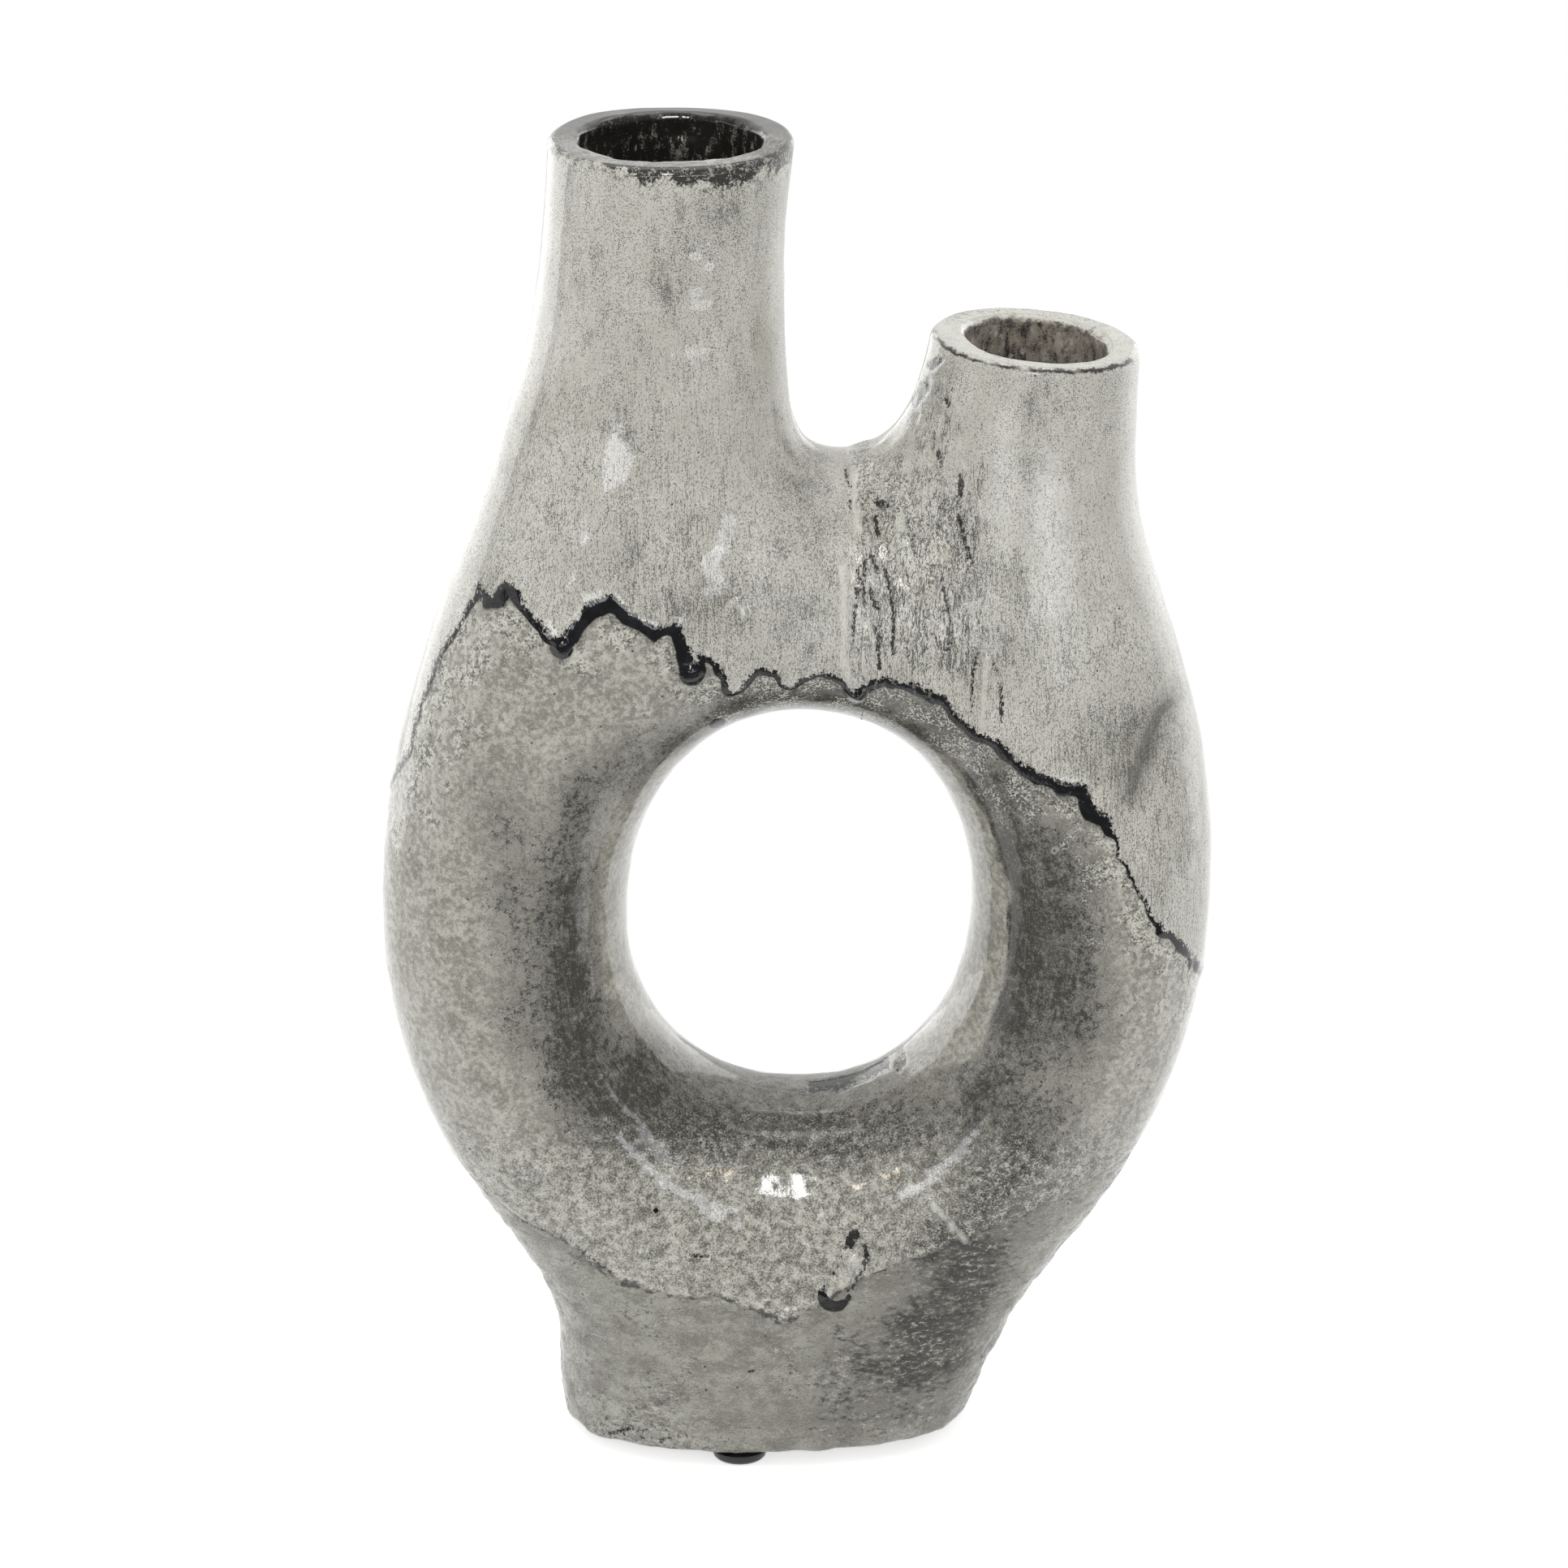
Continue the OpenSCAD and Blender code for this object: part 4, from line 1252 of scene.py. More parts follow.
@dataclass(frozen=True)
class StonewareGlaze:
    """Reactive-glazed stoneware: a pale runny coat over a mottled darker one, under a clear gloss.

    To the eye it is a hard wet-looking skin with crisp reflections, over specks, streaks and
    blotches that lie inside the glaze, and near-black glass where the coats pooled. Some darker
    blotches are painted shade, and the slate clouds in the black glass are painted reflection.
    """

    upper_pale: str = "#cac8c0"
    upper_mid: str = "#b6b4ab"
    upper_shade: str = "#85847c"
    upper_khaki: str = "#a19f90"
    speck: str = "#3f3e3a"
    lower_pale: str = "#bab8ae"
    lower_mid: str = "#817f76"
    lower_vein: str = "#55544e"
    dark_zone: str = "#403f3b"
    foot_tone: str = "#a8a79c"
    crust: str = "#cdccc2"
    black: str = "#08090a"
    reflection_slate: str = "#17181c"
    rim_dark: str = "#3c3b39"
    rim_tone: str = "#8b8982"
    mouth_black: str = "#242322"
    mouth_brown: str = "#a79f94"
    ior: float = 1.5
    roughness: float = 0.06
    saddle_dull: float = 0.32
    shoulder_dull: float = 0.16

    def upper(self, s: Shader, mm: Socket, above: Socket) -> tuple[Socket, Socket]:
        """Pale coat: soft clouds, hair-fine upright fibres and dark specks that gather above its edge."""
        cloud = s.mottle(mm, 15, 4, 0.6, 3.0)
        broad = s.mottle(mm, 38, 2, 0.5, 8.0)
        smoke = s.mottle(mm, (4.5, 4.5, 10.0), 4, 0.62, 13.0)
        bent = s.bend(mm, 3.0, 0.5, 7.0)
        lines = s.add("MapRange", EASED, above, 105, 30)
        peel = s.total(s.product(s.net(bent, 0.36), s.add("Math", SUBTRACT, 1.0, lines)),
                       s.product(s.net(bent, (0.30, 0.30, 0.72), 9.0), lines))
        dots = s.mottle(mm, (0.22, 0.22, 0.36), 0.0, 0.5, 11.0)
        columns = s.mottle(mm, (0.45, 0.45, 7.0), 1.0, 0.6, 12.0)
        hairs = s.mottle(mm, (0.32, 0.32, 7.0), 2.0, 0.6, 14.0)
        # the map's darker patches read in here are partly painted shade, as in the hollow by the slot
        shade = s.total(s.glazed("cloud"), (1.1, cloud), (0.6, broad), (1.0, smoke))
        drift = s.add("MapRange", EASED, s.total((1.0, cloud), (0.6, broad), (0.6, smoke)), -0.2, 0.16)
        tones = s.add("Mix", COLOURS, drift, linear(self.upper_mid), linear(self.upper_pale))
        tones = s.over(tones, self.upper_khaki, s.add("MapRange", EASED, broad, 0.02, 0.2), 0.6)
        tones = s.over(tones, self.upper_shade, s.add("MapRange", EASED, shade, 0.05, 0.95), 0.85)
        fibres = s.product(hairs, s.total(0.25, (0.75, lines)))
        tones = s.over(tones, self.upper_shade, s.add("MapRange", EASED, fibres, 0.0, 0.18), 0.42)
        tones = s.over(tones, self.speck, s.add("MapRange", EASED, peel, -0.03, -0.24), 0.52)
        tones = s.over(tones, self.crust, s.add("MapRange", EASED, peel, 0.08, 0.32), 0.58)
        crowd = s.total(dots, s.product(columns, s.total(0.15, (0.6, lines))), (0.25, shade), (0.35, smoke),
                        (0.02, s.glazed("cracked")),
                        s.product(s.add("MapRange", EASED, above, 7.0, 0.5), 0.09),
                        s.product(s.add("MapRange", EASED, s.glazed("band"), -5.0, 1.0), 0.1))
        tones = s.over(tones, self.speck, s.add("MapRange", EASED, crowd, 0.13, 0.24), 0.72)
        band = s.glazed("band")
        tones = s.over(tones, self.lower_vein,
                       s.add("MapRange", EASED, s.total(band, (3.0, cloud)), -7.0, 0.5), 0.34)
        tones = s.over(tones, self.lower_vein,
                       s.add("MapRange", EASED, s.total(band, (2.0, smoke)), -0.4, 0.5), 0.5)
        lit = s.product(s.add("MapRange", EASED, s.add("Math", SUBTRACT, above, s.glazed("bead")), 2.6, 0.4),
                        s.add("MapRange", EASED, cloud, -0.1, 0.12), 0.35)
        return s.over(tones, self.crust, lit), s.product(hairs, lines)

    def lower(self, s: Shader, mm: Socket, above: Socket, low: Socket) -> tuple[Socket, Socket]:
        """Mottled coat: smoky clouds and wisps over a dark band whose brush marks run round the hole."""
        cloud = s.mottle(mm, 8, 6, 0.64, 5.0)
        wisp = s.add("Math", UNSIGNED, s.mottle(mm, 5.5, 5, 0.68, 15.0, 0.5))
        small = s.mottle(mm, 1.8, 3, 0.66, 25.0)
        fine = s.mottle(mm, 0.42, 1.0, 0.5, 27.0)
        around = s.glazed("around", "Vector")
        brush = s.mottle(around, (0.9, 9.0, 9.0), 3, 0.65, 19.0)
        dark = s.glazed("dark")
        drift = s.add("MapRange", EASED, s.total((0.5, cloud), (1.3, small), (0.6, fine)), -0.15, 0.15)
        tones = s.add("Mix", COLOURS, drift, linear(self.lower_mid), linear(self.lower_pale))
        veins = s.product(s.add("MapRange", EASED, wisp, 0.04, 0.0),
                          s.total(0.22, (0.9, s.product(dark, s.add("Math", SUBTRACT, 1.0, dark)))))
        tones = s.over(tones, self.lower_vein, veins)
        shade = s.total(dark,
                        s.product(s.total((1.3, cloud), (2.1, small), (1.1, fine), (-0.9, wisp), 0.08),
                                  s.add("MapRange", EASED, dark, 0.0, 0.4)))
        tones = s.over(tones, self.dark_zone, s.add("MapRange", EASED, shade, 0.0, 1.05))
        tones = s.over(tones, self.lower_pale, s.add("MapRange", EASED, dark, 0.25, 0.8),
                       s.add("MapRange", EASED, brush, 0.02, 0.25), 0.16)
        tones = s.over(tones, self.black, s.add("MapRange", EASED, dark, 0.3, 0.85),
                       s.add("MapRange", EASED, brush, -0.04, -0.25), 0.34)
        # fine tooth, and the dense net of the run-down glaze low on the bowl
        tooth = s.total(fine, (0.6, small))
        bright = s.add("Math", SUBTRACT, 1.0, s.product(dark, 0.8))
        tones = s.over(tones, self.speck, s.add("MapRange", EASED, tooth, 0.02, 0.30), 0.5)
        tones = s.over(tones, self.crust, s.add("MapRange", EASED, tooth, -0.02, -0.30), 0.38, bright)
        height = s.add("SeparateXYZ", {}, mm).node.outputs[2]
        grit = s.product(s.add("MapRange", EASED, height, 114, 88), s.add("MapRange", EASED, low, -0.5, 1.0))
        dent = s.mottle(mm, 2.6, 3, 0.6, 35.0)
        mesh = s.net(s.bend(mm, 2.0, 0.4, 29.0), 0.52, 31.0)
        tones = s.over(tones, self.speck, grit,
                       s.add("MapRange", EASED, s.total(mesh, (-1.3, dent)), 0.04, -0.20), 0.62)
        sand = s.total(s.mottle(mm, 0.5, 1.0, 0.5, 31.0), (-0.9, dent))
        tones = s.over(tones, self.crust, grit, s.add("MapRange", EASED, sand, 0.02, 0.22), 0.6)
        # crystal crust under the upper coat's edge
        patches = s.total(s.mottle(mm, 7, 4, 0.62, 37.0),
                          s.product(s.add("MapRange", EASED, above, -16, -1.0), 0.14))
        crust = s.product(s.add("MapRange", EASED, patches, 0.0, 0.16),
                          s.add("MapRange", EASED, above, -34, -6))
        crystal = s.total(s.mottle(mm, 0.55, 1.0, 0.5, 39.0), (0.8, small))
        tones = s.over(tones, self.crust, crust, s.add("MapRange", EASED, crystal, 0.0, 0.14), 0.78)
        tones = s.over(tones, self.speck, crust, s.add("MapRange", EASED, crystal, -0.05, -0.19), 0.78)
        return tones, s.total((0.25, small), s.product(crust, crystal, 0.8))

    def foot(self, s: Shader, mm: Socket) -> tuple[Socket, Socket]:
        """Plain glaze of the foot: flat wrinkles, stony grain, a pale crust at left, a darker right end that
        is partly painted shade.
        """
        cloud = s.mottle(mm, (9, 9, 6), 5, 0.64, 43.0)
        wrinkle = s.mottle(mm, (2.6, 2.6, 1.3), 4, 0.68, 47.0, 0.3)
        grains = s.mottle(mm, (0.6, 0.6, 0.4), 1, 0.6, 49.0)
        mixed = s.total(wrinkle, (0.4, grains))
        tones = s.add("Mix", COLOURS, s.add("MapRange", EASED, s.total(cloud, (1.1, wrinkle)), -0.12, 0.12),
                      linear(self.lower_mid), linear(self.foot_tone))
        shade = s.total(s.glazed("dark"),
                        s.product(s.total((1.8, cloud), (1.8, wrinkle)),
                                  s.add("MapRange", EASED, s.glazed("dark"), 0.0, 0.3)))
        tones = s.over(tones, self.dark_zone, s.add("MapRange", EASED, shade, 0.10, 0.98))
        rough = s.add("MapRange", EASED, s.mottle(mm, 14, 2, 0.5, 55.0), -0.08, 0.12)
        tones = s.over(tones, self.speck, s.add("MapRange", EASED, mixed, 0.03, 0.18),
                       s.total(0.42, (0.4, rough)))
        tones = s.over(tones, self.crust, s.add("MapRange", EASED, mixed, -0.03, -0.18),
                       s.total(0.34, (0.35, rough)))
        # the crust lies like a hem on the left of the lower edge, with black clots under it
        place = s.add("SeparateXYZ", {}, mm).node.outputs
        hem = s.product(s.add("MapRange", EASED, place[2], 24, 12),
                        s.add("MapRange", EASED, s.add("Math", UNSIGNED, s.total(place[0], 42.0)), 24, 8),
                        s.add("MapRange", EASED, place[1], 0, -12))
        clots = s.total(s.mottle(mm, 1.7, 3, 0.62, 83.0),
                        s.product(s.add("MapRange", EASED, place[2], 15, 6), 0.12))
        tones = s.over(tones, self.crust, hem, s.add("MapRange", EASED, mixed, 0.08, -0.10), 0.6)
        tones = s.over(tones, self.black, hem, s.add("MapRange", EASED, clots, 0.14, 0.24), 0.9)
        return tones, s.total((1.0, wrinkle), (0.3, grains))

    def rims(self, s: Shader, mm: Socket, tones: Socket) -> Socket:
        """Dark glassy edge on the tall rim, a hair line on the short one, and both mouths."""
        lip, short = s.glazed("lip"), s.glazed("short")
        slow = s.mottle(mm, 11.0, 2, 0.5, 51.0)
        rough = s.total((1.0, s.mottle(mm, 4.0, 4, 0.66, 52.0)), (0.6, s.mottle(mm, 0.9, 2, 0.6, 53.0)))
        fine = s.mottle(mm, 0.5, 2, 0.6, 54.0)
        around = s.glazed("around", "Vector")
        streak = s.mottle(s.bend(around, 6.0, 0.8, 2.0), (0.5, 5.0, 5.0), 3, 0.66, 56.0)
        place = s.add("SeparateXYZ", {}, mm).node.outputs
        near = s.add("MapRange", EASED, place[1], 12.0, -16.0)
        tall = s.add("Math", SUBTRACT, 1.0, short)
        on_top = s.add("MapRange", EASED, s.total(lip, (3.0, rough)), -1.4, 0.4)
        worn = s.total((0.8, rough), (0.6, fine), (1.6, streak), (0.8, slow))
        top = s.add("Mix", COLOURS, s.add("MapRange", EASED, worn, -0.22, 0.14), linear(self.rim_dark),
                    linear(self.rim_tone))
        top = s.over(top, self.crust, s.add("MapRange", EASED, s.total(streak, (0.7, fine)), 0.10, 0.22), 0.5)
        top = s.over(top, self.rim_dark, s.add("MapRange", EASED, place[1], -10.0, 10.0), 0.9)
        tones = s.add("Mix", COLOURS, s.product(on_top, tall, 0.94), tones, top)
        tones = s.over(tones, self.crust, on_top, short,
                       s.add("MapRange", EASED, s.total(rough, (0.8, fine)), 0.2, -0.06), 0.85)
        tones = s.over(tones, self.rim_dark, on_top, short,
                       s.add("MapRange", EASED, s.total(streak, (0.6, fine)), 0.10, 0.22), 0.5)
        # the band hangs lower where the glaze was thick, most of all in front on the right
        hang = s.total((5.0, s.add("MapRange", EASED, place[0], -62, -26)), (9.0, slow), (7.0, rough))
        edge = s.add("MapRange", EASED, s.total(lip, hang), 0.0, 1.2)
        band = s.product(edge, s.add("MapRange", EASED, s.total(lip, (5.0, rough)), 2.4, 0.8), tall, near)
        tones = s.over(tones, self.black, band, 0.93)
        drops = s.total(rough, (0.9, fine))
        run = s.product(s.add("MapRange", EASED, s.total(lip, hang), -5.0, 0.0),
                        s.add("MapRange", EASED, drops, 0.0, 0.16), tall, near)
        tones = s.over(tones, self.speck, run, 0.7)
        pale = s.product(s.add("MapRange", EASED, s.total(lip, hang), -8.0, -1.5),
                         s.add("MapRange", EASED, drops, -0.02, -0.16), tall, near)
        tones = s.over(tones, self.crust, pale, 0.45)
        hair = s.add("MapRange", EASED, s.add("Math", UNSIGNED, s.total(lip, 0.8, (1.8, rough))), 0.6, 0.2)
        tones = s.over(tones, self.black, hair, short, near, s.add("MapRange", EASED, slow, -0.16, -0.02),
                       0.92)
        deep = s.add("MapRange", EASED, s.total(lip, (4.0, rough)), 9.4, 11.2)
        smear = s.total(s.mottle(mm, (3.0, 3.0, 7.0), 4, 0.66, 57.0), (0.5, fine))
        brown = s.add("Mix", COLOURS, s.add("MapRange", EASED, smear, -0.2, 0.12), linear(self.rim_dark),
                      linear(self.mouth_brown))
        brown = s.over(brown, self.crust,
                       s.add("MapRange", EASED, s.mottle(mm, 2.2, 3, 0.6, 59.0), 0.04, 0.2), 0.6)
        brown = s.over(brown, self.rim_dark, s.add("MapRange", EASED, lip, 15, 9),
                       s.add("MapRange", EASED, rough, 0.0, 0.12), 0.7)
        black = s.add("Mix", COLOURS, s.product(s.add("MapRange", EASED, smear, 0.02, 0.22), 0.5),
                      linear(self.mouth_black), linear(self.lower_pale))
        scratch = s.mottle(mm, (0.4, 0.4, 4.0), 1, 0.5, 61.0)
        black = s.over(black, self.crust, s.add("MapRange", EASED, scratch, 0.17, 0.26),
                       s.add("MapRange", EASED, slow, -0.05, 0.1), 0.5)
        return s.add("Mix", COLOURS, deep, tones, s.add("Mix", COLOURS, short, black, brown))

    def material(self) -> bpy.types.Material:
        """Builds the finish from places in mm and the glaze map on the vertices."""
        s = Shader("reactive-glazed stoneware")
        mm = s.millimetres()
        jag = s.mottle(mm, 1.1, 3.0, 0.6, 21.0)
        above, low = s.glazed("above"), s.total(s.glazed("low"), (2.4, jag))
        ragged = s.total(above, (4.5, jag), (2.4, s.mottle(mm, (0.45, 0.45, 1.0), 1.0, 0.5, 63.0)))
        upper, hairs = self.upper(s, mm, above)
        lower, tooth = self.lower(s, mm, above, low)
        foot, folds = self.foot(s, mm)
        on_foot = s.add("MapRange", EASED, low, 0.6, -0.5)
        body = s.add("Mix", COLOURS, on_foot, lower, foot)
        off_line = s.add("Math", SUBTRACT, s.add("Math", UNSIGNED, low), s.glazed("low_bead"))
        gaps = s.add("MapRange", EASED, s.mottle(mm, 3.0, 3, 0.6, 65.0), -0.12, 0.08)
        body = s.over(body, self.black, s.add("MapRange", EASED, off_line, 0.5, -0.3), gaps, 0.8)
        on_upper = s.add("MapRange", EASED, ragged, -0.2, 0.35)
        coat = s.add("Mix", COLOURS, on_upper, body, upper)
        # the bead along the edge: smooth below, frayed above, glass-black with slate clouds that are painted
        # reflection
        bead = s.glazed("bead")
        core = s.add("Math", {"operation": "MINIMUM"},
                     s.add("MapRange", EASED, s.total(above, (0.6, jag), bead), -0.25, 0.3),
                     s.add("MapRange", EASED, s.add("Math", SUBTRACT, ragged, bead), 0.5, -0.3))
        clouded = s.add("MapRange", EASED, s.mottle(mm, 3.5, 2, 0.5, 67.0), -0.05, 0.16)
        glass = s.add("Mix", COLOURS, clouded, linear(self.black), linear(self.reflection_slate))
        halo = s.product(s.add("MapRange", EASED, s.total(above, bead), -2.2, 0.0),
                         s.add("MapRange", EASED, above, 1.0, -0.5),
                         s.add("MapRange", EASED, bead, 0.7, 1.8), 0.5)
        coat = s.over(coat, self.lower_vein, halo)
        pool = s.add("MapRange", EASED, s.total(s.glazed("pool"), (0.2, jag)), 0.0, 0.1)
        coat = s.add("Mix", COLOURS, s.add("Math", LARGER, core, pool), coat, glass)
        # cracks drawn one by one, finer ones among them, and pale ridges
        broken = s.total((2.2, jag), (1.4, s.mottle(mm, (0.5, 0.5, 1.5), 2.0, 0.6, 68.0)))
        drawn = s.add("MapRange", EASED, s.total(s.glazed("crack"), broken, -0.02), -0.10, 0.08)
        split = s.add("Math", UNSIGNED, s.mottle(mm, (2.4, 2.4, 13.0), 4, 0.66, 69.0, 0.5))
        where = s.add("Math", LARGER, s.product(s.glazed("seam"), 1.1), s.glazed("cracked"))
        broad = s.mottle(mm, (4, 4, 10), 2, 0.5, 70.0)
        gate = s.add("MapRange", EASED, s.total(where, (1.8, broad)), 0.6, 1.0)
        thin = s.product(s.add("MapRange", EASED, split, 0.022, 0.005), gate)
        rows = s.total(s.mottle(mm, (0.30, 0.30, 0.5), 0.0, 0.5, 71.0),
                       (1.3, s.mottle(mm, (0.6, 0.6, 12.0), 1.0, 0.5, 72.0)))
        crumbs = s.product(gate, s.add("MapRange", EASED, rows, 0.22, 0.32))
        frayed = s.total(s.glazed("ridge"), (4.0, s.mottle(mm, (1.6, 1.6, 5.0), 3, 0.6, 74.0)))
        ridge = s.add("MapRange", EASED, frayed, -0.9, 0.8)
        coat = s.over(coat, self.crust, ridge, 0.55)
        clods = s.mottle(mm, (1.6, 1.6, 3.2), 3, 0.6, 77.0)
        coat = s.over(coat, self.crust, where, s.add("MapRange", EASED, clods, 0.03, 0.18), 0.5)
        split = s.add("Math", LARGER, drawn,
                      s.add("Math", LARGER, s.product(thin, 0.8), s.product(crumbs, 0.7)))
        coat = s.over(coat, self.black, split, 0.92)
        # pinholes: pricks of dark, and a few pits in a pale halo
        prick, lot = s.scatter(mm, 5.5, 4.0)
        pricks = s.product(s.add("MapRange", EASED, prick, 0.42, 0.2),
                           s.add("MapRange", EASED, lot, 0.35, 0.45))
        pit, lot = s.scatter(mm, 21.0, 9.0)
        some = s.add("MapRange", EASED, lot, 0.3, 0.35)
        pits = s.product(s.add("MapRange", EASED, s.total(pit, (0.8, jag)), 0.6, 0.35), some)
        ring = s.add("MapRange", EASED, s.total(pit, (1.5, jag)), 1.5, 0.7)
        coat = s.over(coat, self.crust, ring, some, 0.35)
        coat = s.over(coat, self.black, s.add("Math", LARGER, pricks, pits), 0.85)
        coat = self.rims(s, mm, coat)
        lows = s.add("Mix", COLOURS, on_foot, tooth, folds)
        height = s.total((1.5, s.product(on_foot, folds)),
                         s.product(s.add("Math", SUBTRACT, 1.0, on_upper), lows, 0.12),
                         s.product(on_upper, hairs, 0.006), (0.03, s.mottle(mm, 3.2, 2, 0.5, 73.0)),
                         (-0.3, pits), (-0.12, pricks), (-0.20, split), (0.05, core), (0.12, ridge),
                         (0.22, s.product(where, s.mottle(mm, (1.8, 1.8, 4.0), 3, 0.6, 75.0))))
        bump = s.add("Bump", {}, Strength=1.0, Distance=MM, Height=height)
        # the coat ran thin on the saddle left of the seam and fired satin there, so no lamp shows in
        # it; the right shoulder is less glossy too, and shows its softbox as a soft patch
        place = s.add("SeparateXYZ", {}, mm).node.outputs
        satin = s.product(s.add("MapRange", EASED, place[0], -15, -10),
                          s.add("MapRange", EASED, place[0], 18, 13),
                          s.add("MapRange", EASED, place[1], 0, -6), on_upper)
        shoulder = s.product(s.add("MapRange", EASED, place[0], 34, 56),
                             s.add("MapRange", EASED, place[2], 196, 214),
                             s.add("MapRange", EASED, place[1], 0, -6), on_upper)
        rough = s.total(self.roughness, (self.saddle_dull, satin), (self.shoulder_dull, shoulder))
        bsdf = s.add("BsdfPrincipled", {}, Base_Color=coat, Roughness=rough, IOR=self.ior, Normal=bump)
        s.add("OutputMaterial", {}, Surface=bsdf)
        return s.material


@dataclass(frozen=True)
class BumperRubber:
    """Moulded black polyurethane bumper: smooth and a little glossy, so its edge catches the light."""

    tone: str = "#141415"
    roughness: float = 0.32

    def material(self) -> bpy.types.Material:
        """Builds the finish."""
        s = Shader("moulded black rubber")
        mm = s.millimetres()
        bump = s.add("Bump", {}, Strength=0.4, Distance=MM, Height=s.product(s.mottle(mm, 0.5, 2.0), 0.05))
        bsdf = s.add("BsdfPrincipled", {}, Base_Color=linear(self.tone), Roughness=self.roughness, IOR=1.5,
                     Normal=bump)
        s.add("OutputMaterial", {}, Surface=bsdf)
        return s.material


# Studio


@dataclass(frozen=True)
class Softbox:
    """One rectangular light, aimed at the vase. Lengths in metres."""

    name: str
    place: tuple[float, float, float]
    size: tuple[float, float]
    watts: float
    tone: tuple[float, float, float] = (1.0, 1.0, 1.0)


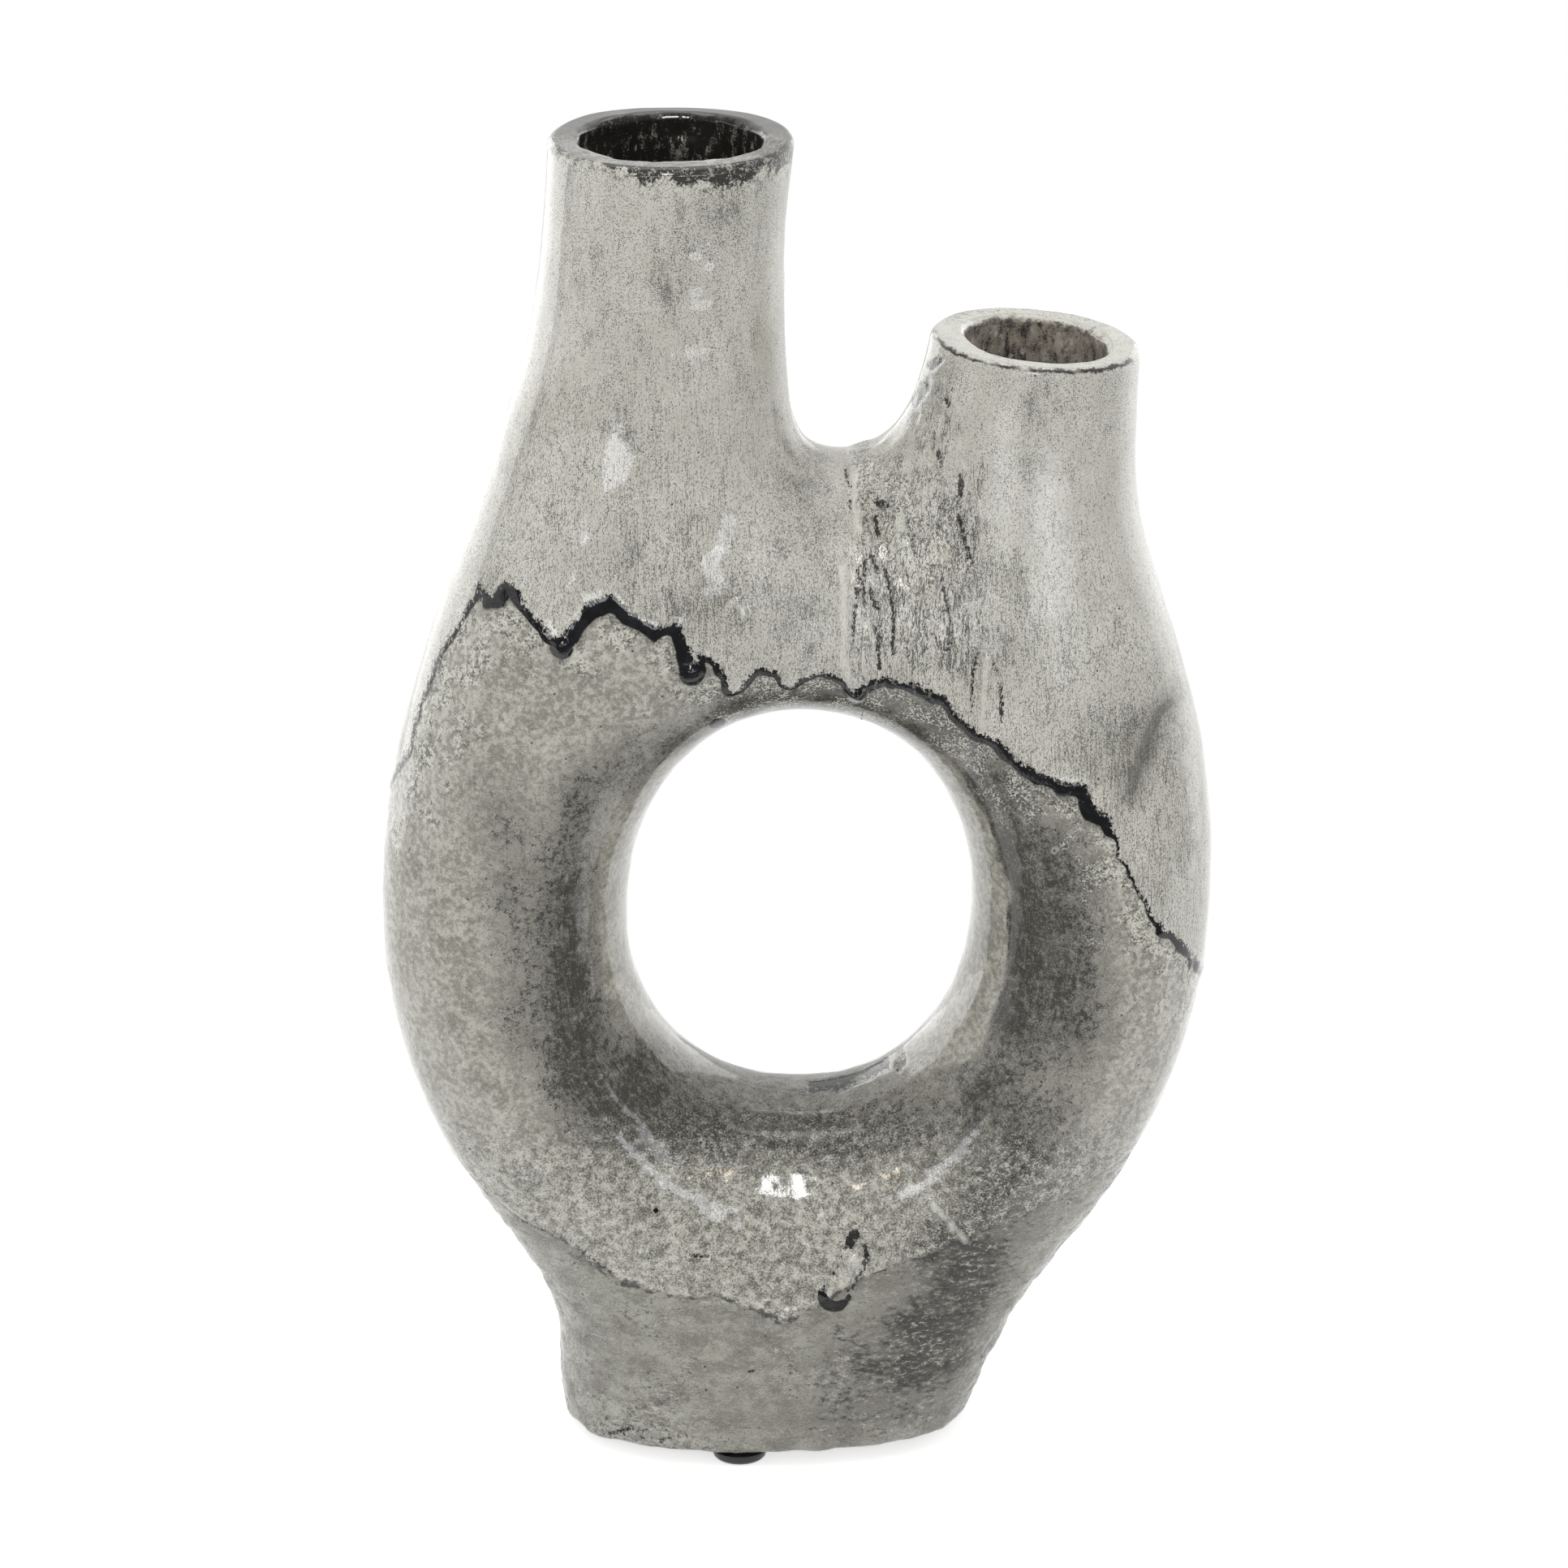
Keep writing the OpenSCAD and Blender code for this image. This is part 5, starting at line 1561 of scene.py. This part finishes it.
@dataclass
class Studio:
    """White sweep, a window and far softboxes in front, pale panels behind, and the photo's camera."""

    view: PhotoView = field(default_factory=PhotoView)
    lights: tuple[Softbox, ...] = (
        Softbox("window", (-0.01, -2.92, 1.50), (0.38, 0.85), 19),
        Softbox("left_softbox", (-0.52, -2.0, 0.135), (0.60, 0.24), 2.5, (0.93, 0.95, 1.0)),
        Softbox("right_softbox", (0.52, -2.0, 0.135), (0.60, 0.24), 2.5, (0.93, 0.95, 1.0)),
        Softbox("shoulder_softbox", (0.33, -0.60, 0.245), (0.26, 0.10), 0.28, (0.93, 0.95, 1.0)),
        Softbox("left_lamp", (-0.72, -2.77, 1.09), (0.10, 0.34), 2.0, (1.0, 0.84, 0.66)),
        Softbox("right_lamp", (0.72, -2.77, 1.09), (0.10, 0.34), 2.0, (1.0, 0.84, 0.66)),
        Softbox("left_wall", (-1.50, -0.35, 0.25), (1.2, 0.9), 3.2),
        Softbox("left_panel", (-1.10, 1.15, 0.35), (1.6, 1.2), 9.5),
        Softbox("right_panel", (1.10, 1.15, 0.35), (1.6, 1.2), 7.0),
        Softbox("overhead", (0.0, 0.1, 1.7), (1.4, 1.0), 9.0),
    )
    fill: float = 0.65
    glow: float = 0.62
    room: float = 0.25

    def build(self) -> None:
        """Makes floor, lights, world and camera."""
        self.floor()
        for box in self.lights:
            self.light(box)
        self.world()
        self.camera()
        log.info("studio: %d lights", len(self.lights))

    def background(self, tree: Shader) -> Socket:
        """1 for rays that show the background: straight to the camera, mirrored or through glass."""
        path = tree.add("LightPath", {}).node.outputs
        seen = tree.add("Math", LARGER, path["Is Camera Ray"], path["Is Glossy Ray"])
        return tree.add("Math", LARGER, seen, path["Is Transmission Ray"])

    def floor(self) -> None:
        """Pale floor that goes over into the white background and keeps the shadow."""
        s = Shader("white sweep")
        shine = s.product(self.background(s), self.glow)
        bsdf = s.add("BsdfPrincipled", {}, Base_Color=(0.75, 0.75, 0.75, 1), Roughness=0.9,
                     Emission_Color=(1, 1, 1, 1), Emission_Strength=shine)
        s.add("OutputMaterial", {}, Surface=bsdf)
        bpy.ops.mesh.primitive_plane_add(size=1.3, location=(0, 0.50, 0))
        obj = bpy.context.object
        obj.name = "floor"
        obj.data.materials.append(s.material)

    def light(self, box: Softbox) -> None:
        """One softbox aimed at the middle of the vase."""
        data = bpy.data.lights.new(box.name, "AREA")
        data.shape, (data.size, data.size_y) = "RECTANGLE", box.size
        data.energy, data.color = box.watts, box.tone
        obj = bpy.data.objects.new(box.name, data)
        obj.location = box.place
        aim = Vector((0, 0, self.view.aim_z * MM)) - Vector(box.place)
        obj.rotation_euler = aim.to_track_quat("-Z", "Y").to_euler()
        bpy.context.scene.collection.objects.link(obj)

    def world(self) -> None:
        """White to the camera and behind the vase, a dimmer room in front, and soft as a light."""
        world = bpy.data.worlds.new("studio")
        bpy.context.scene.world = world
        s = Shader("studio", world)
        path = s.add("LightPath", {}).node.outputs
        ahead = s.add("SeparateXYZ", {}, s.add("TexCoord", {}).node.outputs["Generated"]).node.outputs[1]
        sweep = s.total(self.room, s.product(s.add("MapRange", EASED, ahead, -0.15, 0.45), 1 - self.room))
        seen = s.add("Math", LARGER, path["Is Camera Ray"], path["Is Transmission Ray"])
        mirrored = s.product(path["Is Glossy Ray"], sweep)
        lit = s.product(s.add("Math", SUBTRACT, 1.0, s.add("Math", LARGER, seen, path["Is Glossy Ray"])),
                        self.fill)
        strength = s.total(seen, s.product(mirrored, s.add("Math", SUBTRACT, 1.0, seen)), lit)
        back = s.add("Background", {}, Color=(1, 1, 1, 1), Strength=strength)
        s.add("OutputWorld", {}, Surface=back)

    def camera(self) -> None:
        """Long lens in front of the vase, looking down on it as in the photo."""
        view = self.view
        data = bpy.data.cameras.new("camera")
        data.sensor_fit = "HORIZONTAL"
        data.angle = 2 * math.atan(view.size / 2 * view.mm_per_px / view.distance)
        obj = bpy.data.objects.new("camera", data)
        obj.location = Vector((view.aim + view.back * view.distance) * MM)
        obj.rotation_euler = Vector(-view.back).to_track_quat("-Z", "Y").to_euler()
        bpy.context.scene.collection.objects.link(obj)
        bpy.context.scene.camera = obj


# Whole scene


def finish_pads() -> None:
    """Gives the CAD rubber pads their finish."""
    rubber = BumperRubber().material()
    for name in ("front_pad", "back_pad", "left_pad", "right_pad"):
        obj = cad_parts[name]
        obj.data.materials.clear()
        obj.data.materials.append(rubber)
        log.info("%s: finished", name)


def main() -> None:
    logging.basicConfig(level=logging.INFO, format="%(name)s %(message)s")
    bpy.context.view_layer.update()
    form = VaseForm()
    glaze = GlazeMap(form)
    builder = Builder(form, glaze, Relief(form, glaze))
    stoneware = StonewareGlaze().material()
    for side, name in ((Side.LEFT, "left_ring_half"), (Side.RIGHT, "right_ring_half")):
        outer = RingHalf(form, side).skin(0.0, False)
        inner = RingHalf(form, side, 6, 24, 28, 14, 14, 6).skin(form.wall, True)
        builder.build(name + "_skin", [outer], stoneware, (name,))
        builder.build(name + "_cavity", [inner], stoneware, (name,))
    tall = Neck(form, -form.short_x / 2, form.height, 0.0)
    short = Neck(form, form.short_x, form.short_h, math.tan(form.rim_fall))
    builder.build("tall_neck_skin", tall.skins(), stoneware, ("tall_neck",))
    builder.build("short_neck_skin", short.skins(), stoneware, ("short_neck",))
    builder.build("foot_skin", Foot(form).skins(), stoneware, ("foot_collar", "base_slab"))
    finish_pads()
    Studio().build()
    bpy.context.scene.view_settings.view_transform = "Standard"


if __name__ == "__main__":
    main()
